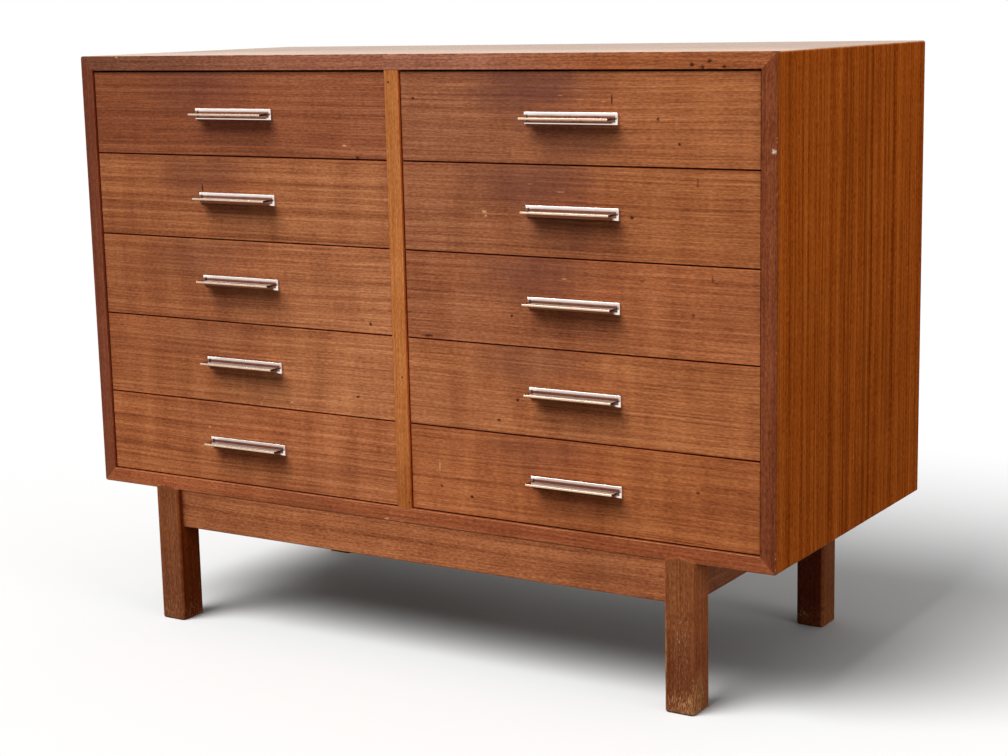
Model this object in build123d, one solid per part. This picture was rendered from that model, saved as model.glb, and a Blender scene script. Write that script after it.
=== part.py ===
"""Free-standing double chest of drawers in teak.

A mitred case with solid front lippings stands on a frame of four legs and four rails. Two columns of
five drawers run on wooden strips. Each drawer has a flush front with a metal plate-and-blade pull.
Millimetres. X runs to the right, Y to the back and Z up. The origin is on the floor, at the middle of
the width and of the whole depth, pulls included.
"""
import os

from build123d import *

# Case
case_width = 1000.0
case_depth = 440.0
case_height = 574.0
panel_thickness = 19.0
divider_thickness = 20.0
divider_housing = 6.0
lipping_depth = 8.0
lipping_arris = 0.8
outer_arris = 2.0
corner_round = 3.0
spline_thickness = 4.0
spline_width = 12.0
spline_end_room = 30.0
mitre_angle = 45.0

# Back panel, let into a rebate round the back of the case
back_thickness = 6.0
rebate_depth = 8.0
rebate_width = 9.0
back_clearance = 0.4
back_screws_across_count = 6
back_screws_up_count = 3

# Leg frame
leg_drop = 179.0
leg_width = 38.0
leg_depth = 42.0
leg_inset = 98.0
leg_proud = 8.0
back_leg_inset = 32.0
leg_round = 5.0
foot_round = 3.0
lap_edge_rise = 2.0
lap_crown_rise = 6.5
rail_height = 50.0
rail_thickness = 22.0
rail_setback = 9.0
rail_arris = 1.5
dowel_radius = 4.0
dowel_length = 24.0
dowel_clearance = 0.1
front_dowel_shares = (0.22, 0.78)
side_dowel_shares = (0.36, 0.64)
block_height = 30.0
block_near = 28.0
block_far = 62.0
block_screw_shares = (0.28, 0.72)
block_counterbore = 12.0

# Drawers
drawer_rows = 5
front_gap = 1.6
front_recess = 3.0
front_thickness = 18.0
front_arris = 0.8
side_thickness = 12.0
side_gap = 4.0
box_lift = 10.0
box_drop = 12.0
box_back_room = 28.0
side_round = 1.5
drawer_back_thickness = 10.0
drawer_back_inset = 9.0
drawer_back_drop = 7.0
drawer_back_housing = 5.0
bottom_thickness = 4.0
bottom_lift = 7.0
bottom_groove_depth = 5.0
tongue_depth = 8.0
tongue_neck = 6.0
tongue_flare = 1.5

# Drawer runners, strips on the case that fill a groove in each drawer side
groove_depth = 6.0
groove_height = 14.0
groove_height_share = 0.55
running_clearance = 0.3
runner_end_room = 20.0
runner_nose_radius = 3.0
right_facing_screw_shares = (0.10, 0.80)
left_facing_screw_shares = (0.20, 0.90)

# Pulls
plate_length = 122.0
plate_height = 13.6
plate_thickness = 3.0
plate_arris = 0.4
rim_width = 2.6
pocket_depth = 2.0
blade_length = 116.0
blade_thickness = 2.4
blade_reach = 21.3
blade_arris = 0.5
post_spacing = 96.0
post_radius = 3.5
post_length = 9.0
thread_room = 0.5

# Screws with slotted round heads
screw_clearance = 0.1
head_round_share = 0.6
slot_width_share = 0.28
slot_depth_share = 0.45
back_screw_radius = 1.6
back_screw_length = 20.0
back_screw_head_radius = 3.6
back_screw_head_height = 1.8
runner_screw_radius = 1.8
runner_screw_length = 15.0
runner_screw_head_radius = 3.4
runner_screw_head_height = 2.0
runner_counterbore = 2.6
block_screw_radius = 2.4
block_screw_length = 32.0
block_screw_head_radius = 4.6
block_screw_head_height = 2.6
pull_screw_radius = 1.9
pull_screw_grip = 6.0
pull_screw_head_radius = 4.0
pull_screw_head_height = 2.4

# Levels and places that follow from the sizes above
left = -case_width / 2
right = case_width / 2
bottom = leg_drop
top = leg_drop + case_height
left_inner = left + panel_thickness
right_inner = right - panel_thickness
bottom_inner = bottom + panel_thickness
top_inner = top - panel_thickness
pull_ahead = blade_reach - front_recess
front = -(case_depth + pull_ahead) / 2 + pull_ahead
back = front + case_depth
lipping_back = front + lipping_depth
rebate_floor = back - rebate_depth
divider_left = -divider_thickness / 2
divider_right = divider_thickness / 2

bay_width = divider_left - left_inner
bay_height = top_inner - bottom_inner
front_height = (bay_height - (drawer_rows + 1) * front_gap) / drawer_rows
front_face = front + front_recess
front_back = front_face + front_thickness
box_back = rebate_floor - box_back_room
box_top = front_height - box_drop
box_height = box_top - box_lift
side_outer = bay_width / 2 - side_gap
side_inner = side_outer - side_thickness
groove_middle = box_lift + box_height * groove_height_share
runner_reach = side_gap + groove_depth - running_clearance
runner_height = groove_height - 2 * running_clearance
runner_front = front_back + running_clearance
runner_back = rebate_floor - runner_end_room

leg_front = front - leg_proud
leg_back = back - back_leg_inset
leg_outer = right - leg_inset
leg_inner = leg_outer - leg_width
rail_outer = leg_outer - rail_setback
rail_inner = rail_outer - rail_thickness
rail_front = leg_front + rail_setback
rail_back = leg_back - rail_setback


def block(x, y, z):
    """Box between the low and the high value given for each axis."""
    spans = [sorted(span) for span in (x, y, z)]
    centre = [(low + high) / 2 for low, high in spans]
    size = [high - low for low, high in spans]
    return Pos(*centre) * Box(*size)


def depth_prism(outline, y):
    """Solid of an outline of X and Z points, from one depth to another."""
    face = Plane.XZ.offset(-y[0]) * make_face(Polyline(*outline, close=True))
    return extrude(face, y[1] - y[0], dir=Axis.Y.direction)


def upright_prism(outline, z):
    """Solid of an outline of X and Y points, from one height to another."""
    face = Plane.XY.offset(z[0]) * make_face(Polyline(*outline, close=True))
    return extrude(face, z[1] - z[0], dir=Axis.Z.direction)


def peg(radius, length):
    """Round peg that runs down from the origin."""
    return Cylinder(radius, length, align=(Align.CENTER, Align.CENTER, Align.MAX))


def disc(radius, height):
    """Round disc that stands up from the origin."""
    return Cylinder(radius, height, align=(Align.CENTER, Align.CENTER, Align.MIN))


def screw(radius, length, head_radius, head_height):
    """Slotted screw: its shank runs down from the origin and its head stands up from it."""
    cap = disc(head_radius, head_height)
    cap = fillet(cap.edges().group_by(Axis.Z)[-1], head_height * head_round_share)
    slot_depth = head_height * slot_depth_share
    slot_level = head_height - slot_depth / 2
    slot = Box(2 * head_radius, 2 * head_radius * slot_width_share, slot_depth)
    return peg(radius, length) + cap - Pos(0, 0, slot_level) * slot


def screw_hole(radius, length):
    """Hole for the shank of a screw or for a post, down from the origin."""
    return peg(radius + screw_clearance, length + screw_clearance)


def counterbore(head_radius, depth):
    """Hole for the head of a screw, up from the origin."""
    return disc(head_radius + screw_clearance, depth)


def placed(shape, point, towards):
    """Shape with its origin at a point and its +Z turned towards a direction."""
    return Plane(origin=point, z_dir=towards).location * shape


def save(node, shapes):
    """Write the solids of a node to its own file."""
    solids = [solid for shape in shapes for solid in shape.solids()]
    body = solids[0] if len(solids) == 1 else Compound(solids)
    export_step(body, f"parts/{node}.step")


def spread(low, high, count):
    """Evenly spaced places between two ends, half a step in from each."""
    step = (high - low) / count
    return [low + step / 2 + step * index for index in range(count)]


# Mitred outlines that the panels and their lippings share
mitred_outlines = {
    "top": [(left, top), (right, top), (right_inner, top_inner), (left_inner, top_inner)],
    "bottom": [(left, bottom), (right, bottom), (right_inner, bottom_inner), (left_inner, bottom_inner)],
    "left": [(left, bottom), (left, top), (left_inner, top_inner), (left_inner, bottom_inner)],
    "right": [(right, bottom), (right, top), (right_inner, top_inner), (right_inner, bottom_inner)],
}


def case_space():
    """Space that the case fills, rounded at its four long corners and along its front outline."""
    space = block((left, right), (front, back), (bottom, top))
    space = fillet(space.edges().filter_by(Axis.Y), corner_round)
    return fillet(space.edges().group_by(Axis.Y)[0], outer_arris)


def lipping(side):
    """Front strip of the case on one side, mitred at its ends, with softened front edges."""
    strip = depth_prism(mitred_outlines[side], (front, lipping_back))
    length_axis = Axis.X if side in ("top", "bottom") else Axis.Z
    front_edges = strip.edges().filter_by(length_axis).filter_by_position(Axis.Y, front, front)
    inner_edge = front_edges.sort_by(SortBy.LENGTH)[0]
    return fillet(inner_edge, lipping_arris) & case_space()


def mitre_splines():
    """Loose tongue across each mitre of the case."""
    middle = panel_thickness / 2
    corners = [
        (left + middle, top - middle, -mitre_angle),
        (right - middle, top - middle, mitre_angle),
        (left + middle, bottom + middle, mitre_angle),
        (right - middle, bottom + middle, -mitre_angle),
    ]
    low = lipping_back + spline_end_room
    high = rebate_floor - spline_end_room
    tongue = Box(spline_width, high - low, spline_thickness)
    return [Pos(x, (low + high) / 2, z) * Rot(0, angle, 0) * tongue for x, z, angle in corners]


def back_screw_points():
    """Places of the screws round the back panel and up the divider, on its outer face."""
    edge = rebate_width / 2
    across = spread(left_inner, right_inner, back_screws_across_count)
    up = spread(bottom_inner, top_inner, back_screws_up_count)
    points = [(x, z) for x in across for z in (bottom_inner - edge, top_inner + edge)]
    points += [(x, z) for x in (left_inner - edge, 0, right_inner + edge) for z in up]
    return [(x, rebate_floor + back_thickness, z) for x, z in points]


def drawer_floor(row):
    """Height of the lower edge of a drawer front; row 1 is the top one."""
    return top_inner - row * (front_gap + front_height)


# Runner strips on each wall of the two bays
runner_walls = {
    "left_runners": (left_inner, 1, right_facing_screw_shares),
    "divider_left_runners": (divider_left, -1, left_facing_screw_shares),
    "divider_right_runners": (divider_right, 1, right_facing_screw_shares),
    "right_runners": (right_inner, -1, left_facing_screw_shares),
}


def runner_screw_points(wall, facing, shares):
    """Places where screw heads sit in the strips of one wall."""
    seat = wall + facing * (runner_reach - runner_counterbore)
    length = runner_back - runner_front
    heights = [drawer_floor(row) + groove_middle for row in range(1, drawer_rows + 1)]
    return [(seat, runner_front + length * share, z) for z in heights for share in shares]


def runners(wall, facing, shares):
    """The strips on one wall, with holes for their screws."""
    towards = (facing, 0, 0)
    shank_hole = screw_hole(runner_screw_radius, runner_screw_length)
    head_hole = counterbore(runner_screw_head_radius, runner_counterbore)
    holes = []
    for point in runner_screw_points(wall, facing, shares):
        holes += [placed(shank_hole, point, towards), placed(head_hole, point, towards)]
    strips = []
    for row in range(1, drawer_rows + 1):
        middle = drawer_floor(row) + groove_middle
        height = (middle - runner_height / 2, middle + runner_height / 2)
        strip = block((wall, wall + facing * runner_reach), (runner_front, runner_back), height)
        front_edges = strip.edges().filter_by(Axis.Z).group_by(Axis.Y)[0].sort_by(Axis.X)
        nose = front_edges[-1] if facing > 0 else front_edges[0]
        strips.append(fillet(nose, runner_nose_radius) - holes)
    return strips


def case():
    """Panels, lippings, splines, back and runners of the case."""
    splines = mitre_splines()
    rebate = block(
        (left_inner - rebate_width, right_inner + rebate_width),
        (rebate_floor, back),
        (bottom_inner - rebate_width, top_inner + rebate_width),
    )
    divider = block(
        (divider_left, divider_right),
        (lipping_back, rebate_floor),
        (bottom_inner - divider_housing, top_inner + divider_housing),
    )
    back_points = back_screw_points()
    back_hole = screw_hole(back_screw_radius, back_screw_length)
    back_holes = [placed(back_hole, point, Axis.Y.direction) for point in back_points]
    block_hole = screw_hole(block_screw_radius, block_screw_length)
    holes = back_holes + [placed(block_hole, point, -Axis.Z.direction) for point in block_screw_points()]
    runner_hole = screw_hole(runner_screw_radius, runner_screw_length)
    for wall, facing, shares in runner_walls.values():
        holes += [placed(runner_hole, p, (facing, 0, 0)) for p in runner_screw_points(wall, facing, shares)]

    panels = {
        side: depth_prism(outline, (lipping_back, back)) & case_space()
        for side, outline in mitred_outlines.items()
    }
    for side in ("top", "bottom"):
        save(f"{side}_panel", [panels[side] - rebate - divider - splines - holes])
    for side in ("left", "right"):
        save(f"{side}_side_panel", [panels[side] - rebate - splines - holes])
    save("centre_divider", [divider - holes])
    save("mitre_splines", splines)

    seam = block((left, divider_left), (front, lipping_back), (bottom, top))
    top_strip = lipping("top")
    save("top_lipping", [top_strip & seam, top_strip - seam])
    for side in ("bottom", "left", "right"):
        save(f"{side}_lipping", [lipping(side)])
    divider_strip = block((divider_left, divider_right), (front, lipping_back), (bottom_inner, top_inner))
    strip_edges = divider_strip.edges().filter_by(Axis.Z).filter_by_position(Axis.Y, front, front)
    save("divider_lipping", [fillet(strip_edges, lipping_arris)])

    back_panel = block(
        (left_inner - rebate_width + back_clearance, right_inner + rebate_width - back_clearance),
        (rebate_floor, rebate_floor + back_thickness),
        (bottom_inner - rebate_width + back_clearance, top_inner + rebate_width - back_clearance),
    )
    save("back_panel", [back_panel - back_holes])
    back_screw = screw(back_screw_radius, back_screw_length, back_screw_head_radius, back_screw_head_height)
    save("back_panel_screws", [placed(back_screw, point, Axis.Y.direction) for point in back_points])

    runner_screw = screw(
        runner_screw_radius,
        runner_screw_length,
        runner_screw_head_radius,
        runner_screw_head_height,
    )
    screws = []
    for node, (wall, facing, shares) in runner_walls.items():
        save(node, runners(wall, facing, shares))
        points = runner_screw_points(wall, facing, shares)
        screws += [placed(runner_screw, point, (facing, 0, 0)) for point in points]
    save("runner_screws", screws)


def leg_blank(height):
    """Plain leg with rounded upright edges and a softened foot, its front left corner on the origin."""
    post = block((0, leg_width), (0, leg_depth), (0, height))
    post = fillet(post.edges().filter_by(Axis.Z), leg_round)
    return fillet(post.edges().group_by(Axis.Z)[0], foot_round)


def front_leg():
    """Leg that stands proud of the case and laps over its lower edge in a shallow arch."""
    shoulder = Line((0, 0), (leg_width, 0))
    right_rise = Line((leg_width, 0), (leg_width, bottom + lap_edge_rise))
    arch = ThreePointArc(
        (leg_width, bottom + lap_edge_rise),
        (leg_width / 2, bottom + lap_crown_rise),
        (0, bottom + lap_edge_rise),
    )
    left_rise = Line((0, bottom + lap_edge_rise), (0, 0))
    outline = Plane.XZ * make_face([shoulder, right_rise, arch, left_rise])
    arched = extrude(outline, leg_depth, dir=Axis.Y.direction)
    behind_lap = block((0, leg_width), (leg_proud, leg_depth), (bottom, bottom + lap_crown_rise))
    return leg_blank(bottom + lap_crown_rise) & arched - behind_lap


def corner_directions():
    """Corners inside the rails: the side in X, the place in Y and the way inwards in Y."""
    inner_front = rail_front + rail_thickness
    inner_back = rail_back - rail_thickness
    return [(side, y, inwards) for side in (-1, 1) for y, inwards in ((inner_front, 1), (inner_back, -1))]


def block_screw_points():
    """Places of the screws that hold the frame to the case, at the undersides of their heads."""
    reach = (block_near + block_far) / 2
    seat = bottom - block_height + block_counterbore
    points = []
    for side, corner_y, inwards in corner_directions():
        for share in block_screw_shares:
            x = side * (rail_inner - reach * share)
            points.append((x, corner_y + inwards * reach * (1 - share), seat))
    return points


def frame():
    """Legs, rails, dowels and corner blocks under the case."""
    dowels = []
    dowel_holes = []

    def dowel_pair(x, y, towards, shares):
        for share in shares:
            point = (x, y, bottom - rail_height * share)
            dowels.append(placed(Cylinder(dowel_radius, dowel_length), point, towards))
            hole = Cylinder(dowel_radius + dowel_clearance, dowel_length + 2 * dowel_clearance)
            dowel_holes.append(placed(hole, point, towards))

    for side in (-1, 1):
        for y in (rail_front + rail_thickness / 2, rail_back - rail_thickness / 2):
            dowel_pair(side * leg_inner, y, Axis.X.direction, front_dowel_shares)
        for y in (leg_front + leg_depth, leg_back - leg_depth):
            dowel_pair(side * (rail_outer - rail_thickness / 2), y, Axis.Y.direction, side_dowel_shares)
    save("rail_dowels", dowels)

    leg_lefts = {"left": -leg_outer, "right": leg_inner}
    for side, x in leg_lefts.items():
        save(f"front_{side}_leg", [Pos(x, leg_front, 0) * front_leg() - dowel_holes])
        save(f"back_{side}_leg", [Pos(x, leg_back - leg_depth, 0) * leg_blank(bottom) - dowel_holes])

    level = (bottom - rail_height, bottom)
    long_span = (-leg_inner, leg_inner)
    side_span = (leg_front + leg_depth, leg_back - leg_depth)
    rails = {
        "front_rail": (long_span, (rail_front, rail_front + rail_thickness), Axis.X),
        "back_rail": (long_span, (rail_back - rail_thickness, rail_back), Axis.X),
        "left_rail": ((-rail_outer, -rail_inner), side_span, Axis.Y),
        "right_rail": ((rail_inner, rail_outer), side_span, Axis.Y),
    }
    for node, (x, y, length_axis) in rails.items():
        rail = block(x, y, level)
        rail = fillet(rail.edges().filter_by(length_axis).group_by(Axis.Z)[0], rail_arris)
        save(node, [rail - dowel_holes])

    down = -Axis.Z.direction
    points = block_screw_points()
    shank_hole = screw_hole(block_screw_radius, block_screw_length)
    head_hole = counterbore(block_screw_head_radius, block_counterbore)
    holes = [placed(hole, point, down) for hole in (shank_hole, head_hole) for point in points]
    blocks = []
    for side, y, inwards in corner_directions():
        outline = [
            (side * (rail_inner - block_near), y),
            (side * (rail_inner - block_far), y),
            (side * rail_inner, y + inwards * block_far),
            (side * rail_inner, y + inwards * block_near),
        ]
        blocks.append(upright_prism(outline, (bottom - block_height, bottom)) - holes)
    save("corner_blocks", blocks)
    block_screw = screw(
        block_screw_radius,
        block_screw_length,
        block_screw_head_radius,
        block_screw_head_height,
    )
    save("corner_block_screws", [placed(block_screw, point, down) for point in points])


def drawer_side(facing):
    """Drawer side with a dovetail tongue at its front, a runner groove outside and grooves inside."""
    middle = (side_outer + side_inner) / 2
    neck = tongue_neck / 2
    tip = neck + tongue_flare
    outline = [
        (side_inner, front_back),
        (middle - neck, front_back),
        (middle - tip, front_back - tongue_depth),
        (middle + tip, front_back - tongue_depth),
        (middle + neck, front_back),
        (side_outer, front_back),
        (side_outer, box_back),
        (side_inner, box_back),
    ]
    board = upright_prism([(facing * x, y) for x, y in outline], (box_lift, box_top))
    board = fillet(board.edges().filter_by(Axis.Y).group_by(Axis.Z)[-1], side_round)
    length = (front_back, box_back)
    half_groove = groove_height / 2
    runner_groove = block(
        (facing * side_outer, facing * (side_outer - groove_depth)),
        length,
        (groove_middle - half_groove, groove_middle + half_groove),
    )
    return board - runner_groove - drawer_bottom() - drawer_back()


def drawer_bottom():
    """Thin bottom that sits in grooves of the sides and the front and runs under the back."""
    half_width = side_inner + bottom_groove_depth
    low = box_lift + bottom_lift
    return block(
        (-half_width, half_width),
        (front_back - bottom_groove_depth, box_back),
        (low, low + bottom_thickness),
    )


def drawer_back():
    """Back board housed in the two sides, standing on the bottom."""
    half_width = side_inner + drawer_back_housing
    outer_face = box_back - drawer_back_inset
    return block(
        (-half_width, half_width),
        (outer_face - drawer_back_thickness, outer_face),
        (box_lift + bottom_lift + bottom_thickness, box_top - drawer_back_drop),
    )


def drawer_front(sides):
    """Front board with sockets for the sides, a groove for the bottom and holes for the pull."""
    half_width = bay_width / 2 - front_gap
    board = block((-half_width, half_width), (front_face, front_back), (0, front_height))
    board = fillet(board.edges().group_by(Axis.Y)[0], front_arris)
    holes = []
    for x in (-post_spacing / 2, post_spacing / 2):
        post_hole = screw_hole(post_radius, post_length)
        holes.append(placed(post_hole, (x, front_face, front_height / 2), -Axis.Y.direction))
        shank_hole = screw_hole(pull_screw_radius, front_thickness)
        holes.append(placed(shank_hole, (x, front_back, front_height / 2), Axis.Y.direction))
    return board - sides - drawer_bottom() - holes


def drawer_pull():
    """Pull: a shallow tray with two threaded posts behind it, a blade that stands in it, and two screws."""
    middle = front_height / 2
    half_length = plate_length / 2
    half_height = plate_height / 2
    plate_front = front_face - plate_thickness
    pocket_floor = plate_front + pocket_depth
    tray = block(
        (-half_length, half_length),
        (plate_front, front_face),
        (middle - half_height, middle + half_height),
    )
    tray = fillet(tray.edges().group_by(Axis.Y)[0], plate_arris)
    tray -= block(
        (-half_length + rim_width, half_length - rim_width),
        (plate_front, pocket_floor),
        (middle - half_height + rim_width, middle + half_height - rim_width),
    )
    blade = block(
        (-blade_length / 2, blade_length / 2),
        (front_face - blade_reach, pocket_floor),
        (middle - blade_thickness / 2, middle + blade_thickness / 2),
    )
    blade = fillet(blade.edges().group_by(Axis.Y)[0], blade_arris)
    shank = front_thickness - post_length + pull_screw_grip
    pull_screw = screw(pull_screw_radius, shank, pull_screw_head_radius, pull_screw_head_height)
    post = peg(post_radius, post_length)
    thread = screw_hole(pull_screw_radius, shank + thread_room)
    screws = []
    for x in (-post_spacing / 2, post_spacing / 2):
        tray += placed(post, (x, front_face, middle), -Axis.Y.direction)
        tray -= placed(thread, (x, front_back, middle), Axis.Y.direction)
        screws.append(placed(pull_screw, (x, front_back, middle), Axis.Y.direction))
    return [tray, blade] + screws


def drawers():
    """All the drawers, each copied from one that stands on the floor in the middle."""
    sides = [drawer_side(-1), drawer_side(1)]
    board = drawer_front(sides)
    box = sides + [drawer_back(), drawer_bottom()]
    pull = drawer_pull()
    columns = {"left": (left_inner + divider_left) / 2, "right": (divider_right + right_inner) / 2}
    for column, x in columns.items():
        for row in range(1, drawer_rows + 1):
            place = Pos(x, 0, drawer_floor(row))
            save(f"drawer_front_{column}_{row}", [place * board])
            save(f"drawer_box_{column}_{row}", [place * shape for shape in box])
            save(f"drawer_pull_{column}_{row}", [place * shape for shape in pull])


os.makedirs("parts", exist_ok=True)
case()
frame()
drawers()
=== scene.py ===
"""Looks of a free-standing double chest of drawers in teak.

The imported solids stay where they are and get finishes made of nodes: veneered panels, solid lippings
and legs, beech drawer boxes, plated pulls and dulled screws. Nail heads and drawer pins are added as
small meshes.
Metres; X runs to the right, Y to the back and Z up.
"""

import logging
import math
from dataclasses import dataclass
from enum import Enum, IntEnum
from typing import Callable, Optional, Sequence, Union

import bpy
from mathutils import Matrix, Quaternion, Vector


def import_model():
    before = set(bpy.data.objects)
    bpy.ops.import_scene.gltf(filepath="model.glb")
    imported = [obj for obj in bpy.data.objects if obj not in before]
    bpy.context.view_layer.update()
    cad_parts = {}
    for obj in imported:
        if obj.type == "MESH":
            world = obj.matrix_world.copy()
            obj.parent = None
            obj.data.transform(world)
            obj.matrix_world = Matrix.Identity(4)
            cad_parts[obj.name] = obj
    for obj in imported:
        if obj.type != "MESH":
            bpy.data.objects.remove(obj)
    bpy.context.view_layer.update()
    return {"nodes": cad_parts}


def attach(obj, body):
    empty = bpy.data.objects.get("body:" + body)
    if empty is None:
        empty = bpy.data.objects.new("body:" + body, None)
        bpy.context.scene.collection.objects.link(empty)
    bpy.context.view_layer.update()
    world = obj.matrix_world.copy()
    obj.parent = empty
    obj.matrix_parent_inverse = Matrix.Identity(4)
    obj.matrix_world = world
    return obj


LOG = logging.getLogger("chest")

Colour = tuple[float, float, float]
Point = tuple[float, float, float]
Socket = bpy.types.NodeSocket
Value = Union[float, Sequence[float], Socket]
Rule = Callable[[bpy.types.MeshPolygon], int]

ROWS = 5
UNCHANGED: Colour = (1.0, 1.0, 1.0)

# How far a face turns towards a direction: 1 straight at it, 0 across it.
FACING = 0.9
TILTED = 0.7
LEANING = 0.3
SLANT = (0.90, 0.995)
EDGE_TURN = (0.3, 0.9)


class Grain(Enum):
    """Direction in which the fibres of a board run, as the order of its axes: along, across, through."""

    ACROSS_THE_FRONT = (0, 2, 1)
    FRONT_TO_BACK = (1, 0, 2)
    UPRIGHT = (2, 1, 0)


class Column(Enum):
    """Column of drawers, with the side that it lies on in X."""

    LEFT = -1
    RIGHT = 1

    @property
    def word(self) -> str:
        """Name of the column as the drawers' names spell it."""
        return self.name.lower()


class PanelFace(IntEnum):
    """Kinds of face on a panel, in the order of its finishes."""

    OUTSIDE = 0
    INSIDE = 1
    BACK_EDGE = 2


class TopLippingFace(IntEnum):
    """Kinds of face on the top lipping, in the order of its finishes."""

    LEFT_LENGTH = 0
    RIGHT_LENGTH = 1
    UPPER = 2


class BoxFace(IntEnum):
    """Kinds of face on a drawer box, in the order of its finishes."""

    SIDE = 0
    BACK = 1
    BOTTOM = 2


class PullFace(IntEnum):
    """Kinds of face on a pull, in the order of its finishes."""

    PLATE = 0
    TRAY_FLOOR = 1
    BLADE_EDGE = 2
    BLADE_TOP = 3
    DULL = 4


def tint(red: int, green: int, blue: int) -> Colour:
    """Linear colour of a shade that is given as it looks on a screen.

    Args:
        red: Red from 0 to 255.
        green: Green from 0 to 255.
        blue: Blue from 0 to 255.

    Returns:
        The three linear parts of the colour.
    """
    parts = (part / 255 for part in (red, green, blue))
    linear = [part / 12.92 if part < 0.04045 else ((part + 0.055) / 1.055) ** 2.4 for part in parts]
    return linear[0], linear[1], linear[2]


def shade(colour: Colour, share: float) -> Colour:
    """Colour made lighter or darker by a share.

    Args:
        colour: Linear colour.
        share: Factor for each part of the colour.

    Returns:
        The new linear colour.
    """
    return colour[0] * share, colour[1] * share, colour[2] * share


class ShaderGraph:
    """Adds and joins the shader nodes of one material."""

    def __init__(self, name: str) -> None:
        """Starts an empty material.

        Args:
            name: Name of the material.
        """
        self.material = bpy.data.materials.new(name)
        self.material.use_nodes = True
        self.tree = self.material.node_tree
        self.tree.nodes.clear()

    def add(self, kind: str, **settings: object) -> bpy.types.Node:
        """Adds a node.

        Args:
            kind: Blender's name for the kind of node.
            settings: Properties of the node.

        Returns:
            The node.
        """
        node = self.tree.nodes.new(kind)
        for key, value in settings.items():
            setattr(node, key, value)
        return node

    def feed(self, socket: Socket, value: Value) -> None:
        """Links a socket to another, or sets its own value.

        Args:
            socket: Input socket.
            value: Output socket, number, vector or colour.
        """
        if isinstance(value, Socket):
            self.tree.links.new(value, socket)
        elif isinstance(value, (int, float)):
            socket.default_value = value
        else:
            room = len(socket.default_value)
            socket.default_value = (tuple(value) + (1.0,))[:room]

    def place(self) -> Socket:
        """Place on the object, in its own coordinates."""
        return self.add("ShaderNodeTexCoord").outputs["Object"]

    def split(self, vector: Socket) -> list[Socket]:
        """Parts of a vector.

        Args:
            vector: Vector.

        Returns:
            Its X, Y and Z.
        """
        node = self.add("ShaderNodeSeparateXYZ")
        self.feed(node.inputs[0], vector)
        return list(node.outputs)

    def join(self, x: Value, y: Value, z: Value = 0.0) -> Socket:
        """Vector of three numbers.

        Args:
            x: First number.
            y: Second number.
            z: Third number.

        Returns:
            The vector.
        """
        node = self.add("ShaderNodeCombineXYZ")
        for socket, value in zip(node.inputs, (x, y, z)):
            self.feed(socket, value)
        return node.outputs[0]

    def math(self, operation: str, a: Value, b: Value = 0.0, c: Value = 0.0) -> Socket:
        """Sum of numbers.

        Args:
            operation: Blender's name for the sum.
            a: First number.
            b: Second number.
            c: Third number, where the sum takes one.

        Returns:
            The result.
        """
        node = self.add("ShaderNodeMath", operation=operation)
        for socket, value in zip(node.inputs, (a, b, c)):
            self.feed(socket, value)
        return node.outputs[0]

    def vector(self, operation: str, a: Value, b: Value = (0.0, 0.0, 0.0)) -> bpy.types.Node:
        """Node for a sum of vectors.

        Args:
            operation: Blender's name for the sum.
            a: First vector.
            b: Second vector.

        Returns:
            The node, with a vector and a number as its outputs.
        """
        node = self.add("ShaderNodeVectorMath", operation=operation)
        self.feed(node.inputs[0], a)
        self.feed(node.inputs[1], b)
        return node

    def times(self, vector: Value, factors: Value) -> Socket:
        """Vector or colour with each part times its own factor."""
        return self.vector("MULTIPLY", vector, factors).outputs[0]

    def stretched(self, parts: Sequence[Socket], rates: Sequence[float]) -> Socket:
        """Vector of two or three numbers, each times its own rate."""
        return self.join(*(self.math("MULTIPLY", part, rate) for part, rate in zip(parts, rates)))

    def scaled(self, vector: Value, share: Value) -> Socket:
        """Vector times a number.

        Args:
            vector: Vector.
            share: Number.

        Returns:
            The longer or shorter vector.
        """
        node = self.add("ShaderNodeVectorMath", operation="SCALE")
        self.feed(node.inputs[0], vector)
        self.feed(node.inputs["Scale"], share)
        return node.outputs[0]

    def distance(self, place: Socket, centre: Point, reach: Point) -> Socket:
        """Distance from a point, counted in the half sizes of an ellipsoid round it."""
        offset = self.vector("SUBTRACT", place, centre).outputs[0]
        return self.vector("LENGTH", self.vector("DIVIDE", offset, reach).outputs[0]).outputs[1]

    def ragged(self, away: Socket, pattern: Socket, share: float) -> Socket:
        """Distance made uneven by a pattern, so that what ends at it has a ragged edge."""
        return self.math("MULTIPLY_ADD", pattern, share, self.math("SUBTRACT", away, share / 2))

    def noise(self, at: Value, detail: float = 2.0, roughness: float = 0.5, flat: bool = False) -> Socket:
        """Soft random pattern with features about one unit wide.

        Args:
            at: Place to read it at: a vector, or one number for a pattern in lines.
            detail: Number of finer layers.
            roughness: Weight of the finer layers.
            flat: Whether only X and Y of the place count.

        Returns:
            The pattern, between 0 and 1.
        """
        lines = isinstance(at, Socket) and at.type == "VALUE"
        sizes = "1D" if lines else "2D" if flat else "3D"
        node = self.add("ShaderNodeTexNoise", noise_dimensions=sizes)
        self.feed(node.inputs["W" if lines else "Vector"], at)
        self.feed(node.inputs["Scale"], 1.0)
        self.feed(node.inputs["Detail"], detail)
        self.feed(node.inputs["Roughness"], roughness)
        return node.outputs[0]

    def ease(self, value: Value, low: float, high: float, start: float = 0.0, end: float = 1.0) -> Socket:
        """Smooth step from one level to another.

        Args:
            value: Number that is read.
            low: Value at the start of the step.
            high: Value at the end of the step.
            start: Level before the step.
            end: Level after it.

        Returns:
            The level.
        """
        node = self.add("ShaderNodeMapRange", interpolation_type="SMOOTHSTEP")
        for socket, part in zip(node.inputs, (value, low, high, start, end)):
            self.feed(socket, part)
        return node.outputs[0]

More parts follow.
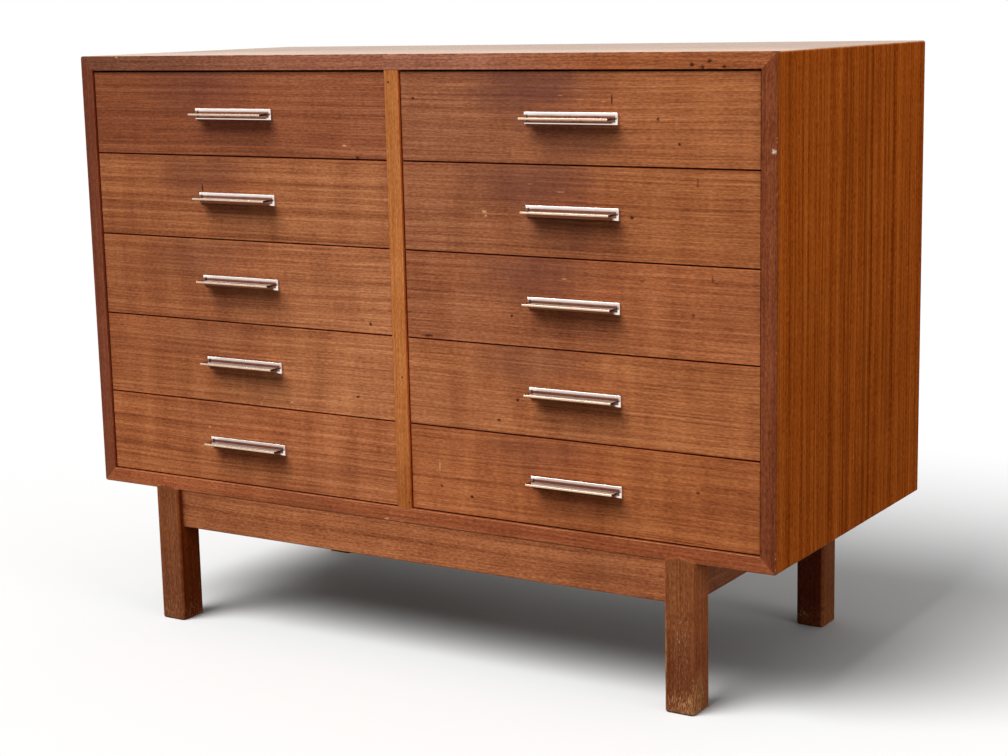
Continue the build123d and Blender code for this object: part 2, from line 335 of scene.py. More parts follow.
    def ramp(self, value: Socket, stops: Sequence[tuple[float, Colour]]) -> Socket:
        """Colour read from a row of colours.

        Args:
            value: Place in the row.
            stops: Places and colours of the row.

        Returns:
            The colour.
        """
        node = self.add("ShaderNodeValToRGB")
        elements = node.color_ramp.elements
        while len(elements) < len(stops):
            elements.new(0.5)
        for element, (position, colour) in zip(elements, stops):
            element.position = position
            element.color = (*colour, 1.0)
        self.feed(node.inputs[0], value)
        return node.outputs[0]

    def mix(self, share: Value, first: Value, second: Value) -> Socket:
        """Mix of two colours.

        Args:
            share: Share of the second colour.
            first: First colour.
            second: Second colour.

        Returns:
            The mixed colour.
        """
        node = self.add("ShaderNodeMix", data_type="RGBA")
        sockets = {socket.identifier: socket for socket in node.inputs}
        self.feed(sockets["Factor_Float"], share)
        self.feed(sockets["A_Color"], first)
        self.feed(sockets["B_Color"], second)
        return next(socket for socket in node.outputs if socket.identifier == "Result_Color")

    def relief(self, height: Socket, strength: float, depth: float) -> Socket:
        """Normal of a surface with a fine relief.

        Args:
            height: Height pattern.
            strength: Share of the relief that shows.
            depth: Depth of the relief in metres.

        Returns:
            The normal.
        """
        node = self.add("ShaderNodeBump")
        self.feed(node.inputs["Strength"], strength)
        self.feed(node.inputs["Distance"], depth)
        self.feed(node.inputs["Height"], height)
        return node.outputs[0]

    def normal(self, kind: str) -> Socket:
        """Way that a face looks: Normal as it is shaded, or True Normal as it lies."""
        return self.add("ShaderNodeNewGeometry").outputs[kind]

    def arris(self) -> Socket:
        """Softened edges.

        Returns:
            0 on flat faces that lie along the axes, up to 1 where a face slants.
        """
        parts = self.split(self.vector("ABSOLUTE", self.normal("True Normal")).outputs[0])
        flatness = self.math("MAXIMUM", self.math("MAXIMUM", parts[0], parts[1]), parts[2])
        return self.ease(flatness, *SLANT, 1.0, 0.0)

    def surface(self, **values: Value) -> bpy.types.Material:
        """Ends the material in one shader.

        Args:
            values: Inputs of the shader by name, with underscores for spaces.

        Returns:
            The material.
        """
        shader = self.add("ShaderNodeBsdfPrincipled")
        for key, value in values.items():
            self.feed(shader.inputs[key.replace("_", " ")], value)
        output = self.add("ShaderNodeOutputMaterial")
        self.tree.links.new(shader.outputs[0], output.inputs["Surface"])
        return self.material


@dataclass(frozen=True)
class Mark:
    """Worn spot on a board: a soft-edged ellipsoid of another colour, whole or made of scratches."""

    place: Point
    reach: Point
    colour: Colour
    strength: float = 0.8
    cover: float = 1.0


@dataclass(frozen=True)
class Vein:
    """Dark line along the fibres: its place across them, its half width and its strength."""

    place: float
    half_width: float
    strength: float


@dataclass(frozen=True)
class Fade:
    """Change of tone along a board: two places along its fibres and the share of the colour at each."""

    start: float
    end: float
    first: Colour
    last: Colour


FRONT_FACE = -0.208
MARK_DEPTH = 0.02
BARE_WOOD = tint(214, 158, 112)
BRUISE = tint(58, 24, 14)
BRUISED_RIM = 1.35

# Features of a wood's patterns per metre: along the fibres, across them and through the board.
BEND_RATES = (1.7, 6.0, 6.0)
RIPPLE_RATES = (34.0, 7.0, 7.0)
SMOKE_RATES = (5.0, 11.0, 11.0)
STREAK_RATES = (2.6, 320.0)
DASH_RATES = (15.0, 760.0)
SPECKLE_RATES = (170.0, 520.0)
PORE_RATES = (60.0, 1200.0)
EDGE_PATCH_RATE = 90.0
BLOT_RATE = 700.0
SCRATCH_RATE = 900.0
SCRATCH_RATE_ALONG = 130.0

# Levels between which a pattern sets in.
PORE_EDGE = (0.56, 0.70)
SMOKE_EDGE = (0.46, 0.68)
EDGE_PATCH_EDGE = (0.40, 0.62)
LEAST_EDGE_PATCH = 0.25
MARK_EDGE = (0.45, 0.95)
MARK_RAGGEDNESS = 1.6
SCRATCH_EDGE = 0.05
THIN_COVER = 0.70
COVER_RANGE = 0.40

# Where a board is cut from the pattern, and how the pattern runs through it.
SEED_WAY = (1.0, 0.37, 0.61)
THROUGH_SHARE = 0.93

# Shares of the dark tone in veins, pores and smoke, and what streaks and pores do to gloss and height.
VEIN_SHADE = 0.5
VEIN_LEAST = 0.2
PORE_SHADE = 0.55
SMOKE_SHADE = 0.80
STREAK_GLOSS = 0.16
PORE_GLOSS = 0.12
STREAK_HEIGHT = 0.5
PORE_HEIGHT = -0.8
GRAIN_DEPTH = 0.0004
LACQUER_ROUGHNESS = 0.22


def fleck(x: float, z: float, wide: float, high: float, strength: float = 0.7) -> Mark:
    """Pale fleck on a face that looks to the front."""
    return Mark((x, FRONT_FACE, z), (wide, MARK_DEPTH, high), BARE_WOOD, strength)


def dent(x: float, z: float, wide: float, high: float, strength: float = 0.9) -> Mark:
    """Dark dent or scratch on a face that looks to the front, with its bruised rim."""
    reach = (BRUISED_RIM * wide, MARK_DEPTH, BRUISED_RIM * high)
    return Mark((x, FRONT_FACE, z), reach, BRUISE, strength)


@dataclass(frozen=True)
class WoodFinish:
    """Wood with growth bands, fine streaks, pores, a thin lacquer and tinted arrises: scuffed pale on most
    boards, darker on some, and a painted shade on the drawer fronts.
    """

    name: str
    grain: Grain
    dark: Colour
    middle: Colour
    pale: Colour
    seed: float = 0.0
    bands_per_metre: float = 90.0
    band_share: float = 0.21
    streak_share: float = 0.23
    speckle_share: float = 0.36
    spread: float = 0.15
    wander: float = 0.008
    ripple: float = 0.10
    smoke: float = 0.18
    pore_share: float = 0.30
    arris_wear_and_shade: float = 0.45
    arris_wear_and_shade_colour: Colour = tint(196, 140, 98)
    roughness: float = 0.46
    shine: float = 0.05
    lacquer: float = 0.0
    relief: float = 0.10
    veins: tuple[Vein, ...] = ()
    marks: tuple[Mark, ...] = ()
    fade: Optional[Fade] = None
    # Painted light on the edge faces, as a factor on their colour.
    painted_edge_light: Optional[Colour] = None

    def figure(self, graph: ShaderGraph, place: Socket) -> dict[str, Socket]:
        """Patterns that follow the fibres.

        Args:
            graph: Graph of the material.
            place: Place on the object.

        Returns:
            The place across the fibres, called line, and patterns between 0 and 1: bands, streaks, dashes,
            speckles, pores, ripple and smoke.
        """
        offset = [part * self.seed for part in SEED_WAY]
        axes = graph.split(graph.vector("ADD", place, offset).outputs[0])
        board = [axes[index] for index in self.grain.value]
        along, across, through = board
        bend = graph.math("SUBTRACT", graph.noise(graph.stretched(board, BEND_RATES), 2.0), 0.5)
        line = graph.math("MULTIPLY_ADD", through, THROUGH_SHARE, across)
        line = graph.math("MULTIPLY_ADD", bend, 2 * self.wander, line)
        true_across = graph.split(place)[self.grain.value[1]]
        fibres = (along, line)
        pores = graph.noise(graph.stretched(fibres, PORE_RATES), 1.0, 0.5, flat=True)
        smoke = graph.noise(graph.stretched(board, SMOKE_RATES), 3.0, 0.55)
        return {
            "line": graph.math("MULTIPLY_ADD", bend, 2 * self.wander, true_across),
            "bands": graph.noise(graph.math("MULTIPLY", line, self.bands_per_metre), 4.0, 0.62),
            "streaks": graph.noise(graph.stretched(fibres, STREAK_RATES), 3.0, 0.62, flat=True),
            "dashes": graph.noise(graph.stretched(fibres, DASH_RATES), 2.0, 0.6, flat=True),
            "speckles": graph.noise(graph.stretched(fibres, SPECKLE_RATES), 3.0, 0.6, flat=True),
            "pores": graph.ease(pores, *PORE_EDGE),
            "ripple": graph.noise(graph.stretched(board, RIPPLE_RATES), 1.0),
            "smoke": graph.ease(smoke, *SMOKE_EDGE),
        }

    def clean(self, graph: ShaderGraph, figure: dict[str, Socket]) -> Socket:
        """Colour of the wood before any wear.

        Args:
            graph: Graph of the material.
            figure: Patterns that follow the fibres.

        Returns:
            The colour.
        """
        rest = 1 - self.band_share - self.streak_share - self.speckle_share
        weights = {"streaks": self.streak_share, "speckles": self.speckle_share, "dashes": rest}
        tone = graph.math("MULTIPLY", figure["bands"], self.band_share)
        for pattern, weight in weights.items():
            tone = graph.math("MULTIPLY_ADD", figure[pattern], weight, tone)
        ripple = graph.math("SUBTRACT", figure["ripple"], 0.5)
        tone = graph.math("MULTIPLY_ADD", ripple, self.ripple, tone)
        stops = [(0.5 - self.spread, self.dark), (0.5, self.middle), (0.5 + self.spread, self.pale)]
        colour = graph.ramp(tone, stops)
        for vein in self.veins:
            away = graph.math("ABSOLUTE", graph.math("SUBTRACT", figure["line"], vein.place))
            share = graph.ease(away, 0.0, vein.half_width, vein.strength, 0.0)
            share = graph.math("MULTIPLY", share, graph.math("ADD", figure["speckles"], VEIN_LEAST))
            colour = graph.mix(share, colour, shade(self.dark, VEIN_SHADE))
        hollows = (("pores", self.pore_share, PORE_SHADE), ("smoke", self.smoke, SMOKE_SHADE))
        for pattern, weight, darkness in hollows:
            share = graph.math("MULTIPLY", figure[pattern], weight)
            colour = graph.mix(share, colour, shade(self.dark, darkness))
        return colour

    def faded(self, graph: ShaderGraph, place: Socket, colour: Socket) -> Socket:
        """Change of tone along the board, where it has one.

        Args:
            graph: Graph of the material.
            place: Place on the object.
            colour: Colour without it.

        Returns:
            The colour with it.
        """
        if self.fade is None:
            return colour
        along = graph.split(place)[self.grain.value[0]]
        step = graph.ease(along, self.fade.start, self.fade.end)
        return graph.times(colour, graph.mix(step, self.fade.first, self.fade.last))

    def turned(self, graph: ShaderGraph, colour: Socket) -> Socket:
        """Painted light on the edges, where a board has it: an upright's side faces, a level board's top and
        bottom.

        Args:
            graph: Graph of the material.
            colour: Colour without it.

        Returns:
            The colour with it.
        """
        if self.painted_edge_light is None:
            return colour
        axis = 0 if self.grain is Grain.UPRIGHT else 2
        facing = graph.split(graph.normal("Normal"))[axis]
        share = graph.ease(graph.math("ABSOLUTE", facing), *EDGE_TURN)
        return graph.times(colour, graph.mix(share, UNCHANGED, self.painted_edge_light))

    def patina(self, graph: ShaderGraph, place: Socket, colour: Socket) -> Socket:
        """Stains of use on top of the wood's colour; a plain board has none."""
        return colour

    def coat(self, graph: ShaderGraph, place: Socket) -> Value:
        """Weight of the lacquer: the same all over a plain board."""
        return self.lacquer

    def marked(self, graph: ShaderGraph, place: Socket, colour: Socket) -> Socket:
        """Colour with the board's own marks on it.

        Args:
            graph: Graph of the material.
            place: Place on the object.
            colour: Colour without the marks.

        Returns:
            The colour with them.
        """
        if not self.marks:
            return colour
        uneven = graph.noise(graph.scaled(place, BLOT_RATE), 2.0)
        rates = [SCRATCH_RATE] * 3
        rates[self.grain.value[0]] = SCRATCH_RATE_ALONG
        scratches = graph.noise(graph.times(place, rates), 3.0, 0.65)
        for mark in self.marks:
            away = graph.distance(place, mark.place, mark.reach)
            ragged = graph.ragged(away, uneven, MARK_RAGGEDNESS)
            share = graph.ease(ragged, *MARK_EDGE, mark.strength, 0.0)
            if mark.cover < 1:
                level = THIN_COVER - COVER_RANGE * mark.cover
                covered = graph.ease(scratches, level - SCRATCH_EDGE, level + SCRATCH_EDGE)
                share = graph.math("MULTIPLY", share, covered)
            colour = graph.mix(share, colour, mark.colour)
        return colour

    def material(self) -> bpy.types.Material:
        """Builds the finish.

        Returns:
            The material.
        """
        graph = ShaderGraph(self.name)
        place = graph.place()
        figure = self.figure(graph, place)
        colour = self.faded(graph, place, self.clean(graph, figure))
        colour = self.patina(graph, place, self.turned(graph, colour))
        # Patches along the arrises: pale scuffs on most boards, dark arrises on the top lipping and a painted
        # shade on the drawer fronts.
        rubs = graph.noise(graph.scaled(place, EDGE_PATCH_RATE), 3.0, 0.6)
        patch_share = graph.ease(rubs, *EDGE_PATCH_EDGE, LEAST_EDGE_PATCH, 1.0)
        arris_wear_and_shade_share = graph.math("MULTIPLY", graph.math("MULTIPLY", graph.arris(), patch_share), self.arris_wear_and_shade)
        colour = self.marked(graph, place, graph.mix(arris_wear_and_shade_share, colour, self.arris_wear_and_shade_colour))
        gloss = graph.math("MULTIPLY_ADD", figure["streaks"], STREAK_GLOSS, self.roughness - STREAK_GLOSS / 2)
        gloss = graph.math("MULTIPLY_ADD", figure["pores"], PORE_GLOSS, gloss)
        hollows = graph.math("MULTIPLY", figure["pores"], PORE_HEIGHT)
        height = graph.math("MULTIPLY_ADD", figure["streaks"], STREAK_HEIGHT, hollows)
        return graph.surface(
            Base_Color=colour,
            Roughness=gloss,
            Normal=graph.relief(height, self.relief, GRAIN_DEPTH),
            Specular_IOR_Level=self.shine,
            Coat_Weight=self.coat(graph, place),
            Coat_Roughness=LACQUER_ROUGHNESS,
        )


@dataclass(frozen=True)
class DrawerFrontFinish(WoodFinish):
    """Veneer of a drawer front, darkened round its pull by hands and by a painted shadow below the pull."""

    pull_x: float = 0.0
    pull_z: float = 0.0
    stain_and_shadow: float = 0.5
    shadowing: float = 0.6
    # Colour of the staining by hands and of the painted shadow under the pull.
    handled_colour: Colour = tint(86, 49, 48)
    under_pull: tuple[float, float] = (0.0, -0.024)
    under_reach: Point = (0.080, 0.06, 0.030)
    beside_pull: tuple[float, float] = (-0.052, 0.033)
    beside_reach: Point = (0.105, 0.06, 0.044)
    cloud_rates: Point = (26.0, 26.0, 44.0)
    raggedness: float = 0.9
    stain_edge: tuple[float, float] = (0.15, 1.15)

    def patina(self, graph: ShaderGraph, place: Socket, colour: Socket) -> Socket:
        """Dark patch under the pull, partly staining by hands and partly painted shadow of the pull, and a
        patch of staining by hands up to its left.

        Args:
            graph: Graph of the material.
            place: Place on the object.
            colour: Colour without them.

        Returns:
            The colour with them.
        """
        cloud = graph.noise(graph.times(place, self.cloud_rates), 3.0, 0.6)
        shadow_and_stains = (
            (self.under_pull, self.under_reach, self.shadowing),
            (self.beside_pull, self.beside_reach, 1.0),
        )
        for (across, up), reach, share in shadow_and_stains:
            centre = (self.pull_x + across, FRONT_FACE, self.pull_z + up)
            ragged = graph.ragged(graph.distance(place, centre, reach), cloud, self.raggedness)
            stain = graph.ease(ragged, *self.stain_edge, share * self.stain_and_shadow, 0.0)
            colour = graph.mix(stain, colour, self.handled_colour)
        return colour


@dataclass(frozen=True)
class LegFinish(WoodFinish):
    """Solid leg, scuffed pale by shoes and brooms towards the floor."""

    scuffed: float = 0.6
    scuff_colour: Colour = tint(190, 142, 92)
    fleck_rates: Point = (520.0, 520.0, 190.0)
    fleck_edge: tuple[float, float] = (0.62, 0.76)
    foot: tuple[float, float] = (0.004, 0.050)
    foot_gain: float = 0.12
    rub_rates: Point = (300.0, 300.0, 34.0)
    rub_edge: tuple[float, float] = (0.64, 0.76)
    shin: tuple[float, float] = (0.02, 0.17)
    shin_loss: float = 0.05

    def patina(self, graph: ShaderGraph, place: Socket, colour: Socket) -> Socket:
        """Pale scuffs near the foot and thin upright rubs above it.

        Args:
            graph: Graph of the material.
            place: Place on the object.
            colour: Colour without the scuffs.

        Returns:
            The colour with them.
        """
        height = graph.split(place)[2]
        flecks = graph.noise(graph.times(place, self.fleck_rates), 3.0, 0.65)
        low = graph.ease(height, *self.foot, self.foot_gain, 0.0)
        rubs = graph.noise(graph.times(place, self.rub_rates), 2.0)
        rubs = graph.math("SUBTRACT", rubs, graph.ease(height, *self.shin, 0.0, self.shin_loss))
        near_foot = graph.ease(graph.math("ADD", flecks, low), *self.fleck_edge, 0.0, self.scuffed)
        higher = graph.ease(rubs, *self.rub_edge, 0.0, self.scuffed / 2)
        return graph.mix(graph.math("MAXIMUM", near_foot, higher), colour, self.scuff_colour)


@dataclass(frozen=True)
class TopFinish(WoodFinish):
    """Veneer of the top, polished in long streaks towards its front edge, with a painted sheen there."""

    front_edge: Point = (0.0, -0.211, 0.753)
    polished_reach: Point = (2.0, 0.20, 0.10)
    polished_lacquer: float = 0.42
    painted_sheen_tone: Colour = (1.55, 1.50, 1.50)
    streak_rates: Point = (1.5, 32.0, 1.0)
    raggedness: float = 1.4
    polish_edge: tuple[float, float] = (0.3, 1.1)

    def polished(self, graph: ShaderGraph, place: Socket) -> Socket:
        """Where the top is polished.

        Args:
            graph: Graph of the material.
            place: Place on the object.

        Returns:
            1 at the front edge, falling to 0 in the back half and on the underside of the case.
        """
        streaks = graph.noise(graph.times(place, self.streak_rates), 3.0, 0.6)
        away = graph.distance(place, self.front_edge, self.polished_reach)
        ragged = graph.ragged(away, streaks, self.raggedness)
        return graph.ease(ragged, *self.polish_edge, 1.0, 0.0)

    def patina(self, graph: ShaderGraph, place: Socket, colour: Socket) -> Socket:
        """Painted sheen: a paler colour where the top is polished."""
        tone = graph.mix(self.polished(graph, place), UNCHANGED, self.painted_sheen_tone)
        return graph.times(colour, tone)

    def coat(self, graph: ShaderGraph, place: Socket) -> Value:
        """Weight of the lacquer, which is thicker where the top is polished."""
        return graph.ease(self.polished(graph, place), 0.0, 1.0, self.lacquer, self.polished_lacquer)


# The metals' polish and tarnish: features per metre, levels, and what they do to gloss and height.
POLISH_RATES = (60.0, 2600.0, 2600.0)
POLISH_GLOSS = 0.08
POLISH_DEPTH = 0.0001
BLOOM_RATES = (120.0, 260.0, 260.0)
BLOOM_EDGE = (0.46, 0.72)
BLOOM_GLOSS = 0.3


@dataclass(frozen=True)
class PlatedMetal:
    """Bright plated metal with a fine lengthwise polish and some tarnish."""

    name: str
    colour: Colour
    tarnish: Colour
    tarnish_share: float = 0.25
    roughness: float = 0.12
    relief: float = 0.02

    def handled(self, graph: ShaderGraph, place: Socket, colour: Socket) -> Socket:
        """Colour with the plating's painted light and darker ends, where it has them; plain metal keeps its
        own.
        """
        return colour

    def material(self) -> bpy.types.Material:
        """Builds the finish.

        Returns:
            The material.
        """
        graph = ShaderGraph(self.name)
        place = graph.place()
        polish = graph.noise(graph.times(place, POLISH_RATES), 2.0)
        bloom = graph.noise(graph.times(place, BLOOM_RATES), 4.0, 0.6)
        bloom = graph.ease(bloom, *BLOOM_EDGE, 0.0, self.tarnish_share)
        gloss = graph.math("MULTIPLY_ADD", polish, POLISH_GLOSS, self.roughness - POLISH_GLOSS / 2)
        return graph.surface(
            Base_Color=self.handled(graph, place, graph.mix(bloom, self.colour, self.tarnish)),
            Metallic=1.0,
            Roughness=graph.math("MULTIPLY_ADD", bloom, BLOOM_GLOSS, gloss),
            Normal=graph.relief(polish, self.relief, POLISH_DEPTH),
        )


@dataclass(frozen=True)
class PullMetal(PlatedMetal):
    """Plating of the plates: bright, with a painted shade on the rim below the blade, brown like the wood
    that it reflects.

    The pulls stand in two columns and at even heights, so a place on any of them is counted from its own
    middle. The top row's lower rim gets the least painted shade.
    """

    first_middle: tuple[float, float] = (0.2455, 0.67976)
    steps: tuple[float, float] = (0.491, 0.10688)
    blade_half_length: float = 0.058
    rim_inner: float = 0.0036
    rim_middle: float = 0.0054
    top_row: float = 0.63
    # Painted shade below the blade, and a darker colour for the rim's left end.
    blade_shade: Colour = tint(104, 60, 42)
    stain: Colour = tint(118, 72, 48)
    blade_shade_share: float = 1.0
    top_row_share: float = 0.1
    stain_share: float = 0.92
    stain_top: tuple[float, float] = (0.0032, 0.004)
    soft_edge: float = 0.0004
    soft_end: float = 0.0006
    soft_rim: float = 0.0003
    clean_end: float = 0.006
    row_change: float = 0.01

    def from_middle(self, graph: ShaderGraph, place: Socket) -> list[Socket]:
        """Place on a pull, counted from the middle of that pull.

        Args:
            graph: Graph of the material.
            place: Place on the object.

        Returns:
            How far it lies to the right of the middle, and how far above it.
        """
        x, _, z = graph.split(place)
        return [
            graph.math("WRAP", graph.math("SUBTRACT", value, middle), step / 2, -step / 2)
            for value, middle, step in zip((x, z), self.first_middle, self.steps)
        ]

    def handled(self, graph: ShaderGraph, place: Socket, colour: Socket) -> Socket:
        """Painted shade below the blade, brown like the wood that the rim reflects, up to the blade's right
        end, and a darker left end of the rim.

        Args:
            graph: Graph of the material.
            place: Place on the object.
            colour: Colour of the bright plating.

        Returns:
            The colour with them.
        """
        across, up = self.from_middle(graph, place)
        end = self.blade_half_length
        below = graph.ease(up, -self.rim_inner - self.soft_edge, -self.rim_inner, 1.0, 0.0)
        beside = graph.ease(across, end - self.clean_end, end, 1.0, 0.0)
        left_end = graph.ease(across, -end - self.soft_end, -end, self.stain_share, 0.0)
        left_end = graph.math("MULTIPLY", left_end, graph.ease(up, -self.rim_middle, -self.rim_inner))
        left_end = graph.math("MULTIPLY", left_end, graph.ease(up, *self.stain_top, 1.0, 0.0))
        top_row = graph.ease(graph.split(place)[2], self.top_row, self.top_row + self.row_change)
        low_rim = graph.ease(up, -self.rim_middle - self.soft_rim, -self.rim_middle, 1.0, 0.0)
        # The top row's lower rim, where the painted shade is weakest.
        patch_share = graph.math("MULTIPLY", top_row, low_rim)
        amount = graph.ease(patch_share, 0.0, 1.0, self.blade_shade_share, self.top_row_share)
        amount = graph.math("MULTIPLY", graph.math("MULTIPLY", below, beside), amount)
        return graph.mix(amount, graph.mix(left_end, colour, self.stain), self.blade_shade)


@dataclass(frozen=True)
class TrayMetal(PullMetal):
    """Plating of the tray's floor: a shaded copy, brown like the wood that it reflects, with a painted
    highlight along its upper edge.
    """

    bright: Colour = tint(228, 218, 212)
    bright_edge: float = 0.0030

    def handled(self, graph: ShaderGraph, place: Socket, colour: Socket) -> Socket:
        """Painted highlight along the upper edge of the floor.

        Args:
            graph: Graph of the material.
            place: Place on the object.
            colour: Colour of the dull floor.

        Returns:
            The colour with it.
        """
        up = self.from_middle(graph, place)[1]
        share = graph.ease(up, self.bright_edge - self.soft_edge, self.bright_edge)
        return graph.mix(share, colour, self.bright)


TEAK_DARK = tint(113, 60, 36)
TEAK_MIDDLE = tint(158, 93, 57)
TEAK_PALE = tint(190, 124, 81)

INNER_BEECH = WoodFinish(
    "beech", Grain.FRONT_TO_BACK, tint(168, 128, 90), tint(193, 155, 113), tint(214, 180, 140),
    seed=3.1, arris_wear_and_shade=0.1, smoke=0.15, pore_share=0.25, roughness=0.55,
)
BOX_FINISHES: dict[BoxFace, WoodFinish] = {
    BoxFace.SIDE: INNER_BEECH,
    BoxFace.BACK: WoodFinish(
        "drawer_back", Grain.ACROSS_THE_FRONT,
        tint(166, 126, 88), tint(192, 154, 112), tint(212, 178, 138),
        seed=14.3, arris_wear_and_shade=0.1, smoke=0.15, roughness=0.55,
    ),
    BoxFace.BOTTOM: WoodFinish(
        "drawer_bottom", Grain.ACROSS_THE_FRONT,
        tint(178, 142, 102), tint(200, 166, 124), tint(218, 188, 148),
        seed=15.9, bands_per_metre=24.0, wander=0.05, arris_wear_and_shade=0.1, smoke=0.1, roughness=0.55,
    ),
}
# One nickel plating in lit and shaded copies, which are painted light: bright on the plate, shaded on the
# tray's floor, dimmer and warmer on the blade's front edge, brown on the blade's top as a painted reflection
# of the wood on its mirror, and dark as painted shade on the blade's ends and the plate's top.
PULL_FINISHES: dict[PullFace, PlatedMetal] = {
    PullFace.PLATE: PullMetal("bright_nickel", tint(246, 237, 232), tint(198, 180, 164), 0.08, 0.28),
    PullFace.TRAY_FLOOR: TrayMetal("shaded_tray_nickel", tint(146, 98, 80), tint(104, 68, 54), 0.7, 0.30, 0.05),
    PullFace.BLADE_EDGE: PlatedMetal(
        "blade_edge_nickel", tint(216, 188, 162), tint(176, 140, 112), 0.3, 0.22
    ),
    PullFace.BLADE_TOP: PlatedMetal("blade_top_nickel", tint(148, 106, 84), tint(106, 72, 56), 0.3, 0.05),
    PullFace.DULL: PlatedMetal("shaded_blade_end_nickel", tint(74, 60, 44), tint(44, 34, 26), 0.5, 0.30),
}
SCREW_STEEL = PlatedMetal("dull_steel", tint(150, 146, 140), tint(98, 84, 70), 0.7, 0.42, 0.1)
NAIL_STEEL = PlatedMetal("dark_nail", tint(60, 44, 34), tint(36, 26, 20), 0.7, 0.55, 0.1)


def dress(
    node: bpy.types.Object, finishes: Sequence[bpy.types.Material], rule: Rule = lambda face: 0
) -> None:
    """Gives the faces of a solid their finishes.

    Args:
        node: Solid of the frame.
        finishes: Materials that it takes.
        rule: Number of the material for a face.
    """
    mesh = node.data
    mesh.materials.clear()
    for finish in finishes:
        mesh.materials.append(finish)
    mesh.polygons.foreach_set("material_index", [int(rule(face)) for face in mesh.polygons])
    LOG.info("dressed %s in %s", node.name, ", ".join(finish.name for finish in finishes))


HEAD_SEGMENTS = 12
HEAD_RINGS = 6
HEAD_SEED = 7
HEAD_SIZES = (0.9, 1.1)


class NailTree:
    """Node tree that stands a domed head on each point of a mesh."""

    def __init__(self, name: str) -> None:
        """Builds the tree.

        Args:
            name: Name of the tree.
        """
        self.group = bpy.data.node_groups.new(name, "GeometryNodeTree")
        self.inputs = {
            label: self.group.interface.new_socket(label, in_out="INPUT", socket_type=kind).identifier
            for label, kind in (
                ("Geometry", "NodeSocketGeometry"),
                ("Head Radius", "NodeSocketFloat"),
                ("Head Rise", "NodeSocketFloat"),
                ("Turn", "NodeSocketVector"),
                ("Finish", "NodeSocketMaterial"),
            )
        }
        self.group.interface.new_socket("Geometry", in_out="OUTPUT", socket_type="NodeSocketGeometry")
        given = self.add("NodeGroupInput")
        points = self.add("GeometryNodeMeshToPoints")
        dome = self.add("GeometryNodeMeshUVSphere")
        dome.inputs["Segments"].default_value = HEAD_SEGMENTS
        dome.inputs["Rings"].default_value = HEAD_RINGS
        dome.inputs["Radius"].default_value = 1.0
        size = self.add("ShaderNodeCombineXYZ")
        shaped = self.add("GeometryNodeTransform")
        uneven = self.add("FunctionNodeRandomValue")
        uneven.inputs["Seed"].default_value = HEAD_SEED
        limits = [socket for socket in uneven.inputs if socket.type == "VALUE" and socket.enabled]
        for socket, value in zip(limits, HEAD_SIZES):
            socket.default_value = value
        spread = self.add("GeometryNodeInstanceOnPoints")
        real = self.add("GeometryNodeRealizeInstances")
        finish = self.add("GeometryNodeSetMaterial")
        result = self.add("NodeGroupOutput")
        links = (
            (given.outputs["Geometry"], points.inputs["Mesh"]),
            (given.outputs["Head Radius"], size.inputs[0]),
            (given.outputs["Head Radius"], size.inputs[1]),
            (given.outputs["Head Rise"], size.inputs[2]),
            (dome.outputs["Mesh"], shaped.inputs["Geometry"]),
            (size.outputs[0], shaped.inputs["Scale"]),
            (points.outputs[0], spread.inputs["Points"]),
            (shaped.outputs[0], spread.inputs["Instance"]),
            (given.outputs["Turn"], spread.inputs["Rotation"]),
            (next(socket for socket in uneven.outputs if socket.enabled), spread.inputs["Scale"]),
            (spread.outputs[0], real.inputs["Geometry"]),
            (real.outputs[0], finish.inputs["Geometry"]),
            (given.outputs["Finish"], finish.inputs["Material"]),
            (finish.outputs[0], result.inputs[0]),
        )
        for source, target in links:
            self.group.links.new(source, target)

    def add(self, kind: str) -> bpy.types.Node:
        """Adds a node of that kind to the tree."""
        return self.group.nodes.new(kind)

    def heads(
        self,
        name: str,
        points: Sequence[Point],
        radius: float,
        rise: float,
        turn: Point,
        finish: bpy.types.Material,
    ) -> bpy.types.Object:
        """Heads on a set of points as one plain mesh.

        Args:
            name: Name of the piece.
            points: Places of the heads.
            radius: Radius of a head.
            rise: How far a head stands out.
            turn: Rotation that brings Z to the way out.
            finish: Material of the heads.

        Returns:
            The piece, at the origin.
        """
        mesh = bpy.data.meshes.new(f"{name}_points")
        mesh.from_pydata(list(points), [], [])
        carrier = bpy.data.objects.new(f"{name}_points", mesh)
        bpy.context.scene.collection.objects.link(carrier)
        modifier = carrier.modifiers.new("heads", "NODES")
        modifier.node_group = self.group
        given = {"Head Radius": radius, "Head Rise": rise, "Turn": turn, "Finish": finish}
        for label, value in given.items():
            modifier[self.inputs[label]] = value
        bpy.context.view_layer.update()
        evaluated = carrier.evaluated_get(bpy.context.evaluated_depsgraph_get())
        solid = bpy.data.meshes.new_from_object(evaluated)
        solid.name = name
        solid.shade_smooth()
        bpy.data.objects.remove(carrier)
        bpy.data.meshes.remove(mesh)
        piece = bpy.data.objects.new(name, solid)
        bpy.context.scene.collection.objects.link(piece)
        return piece


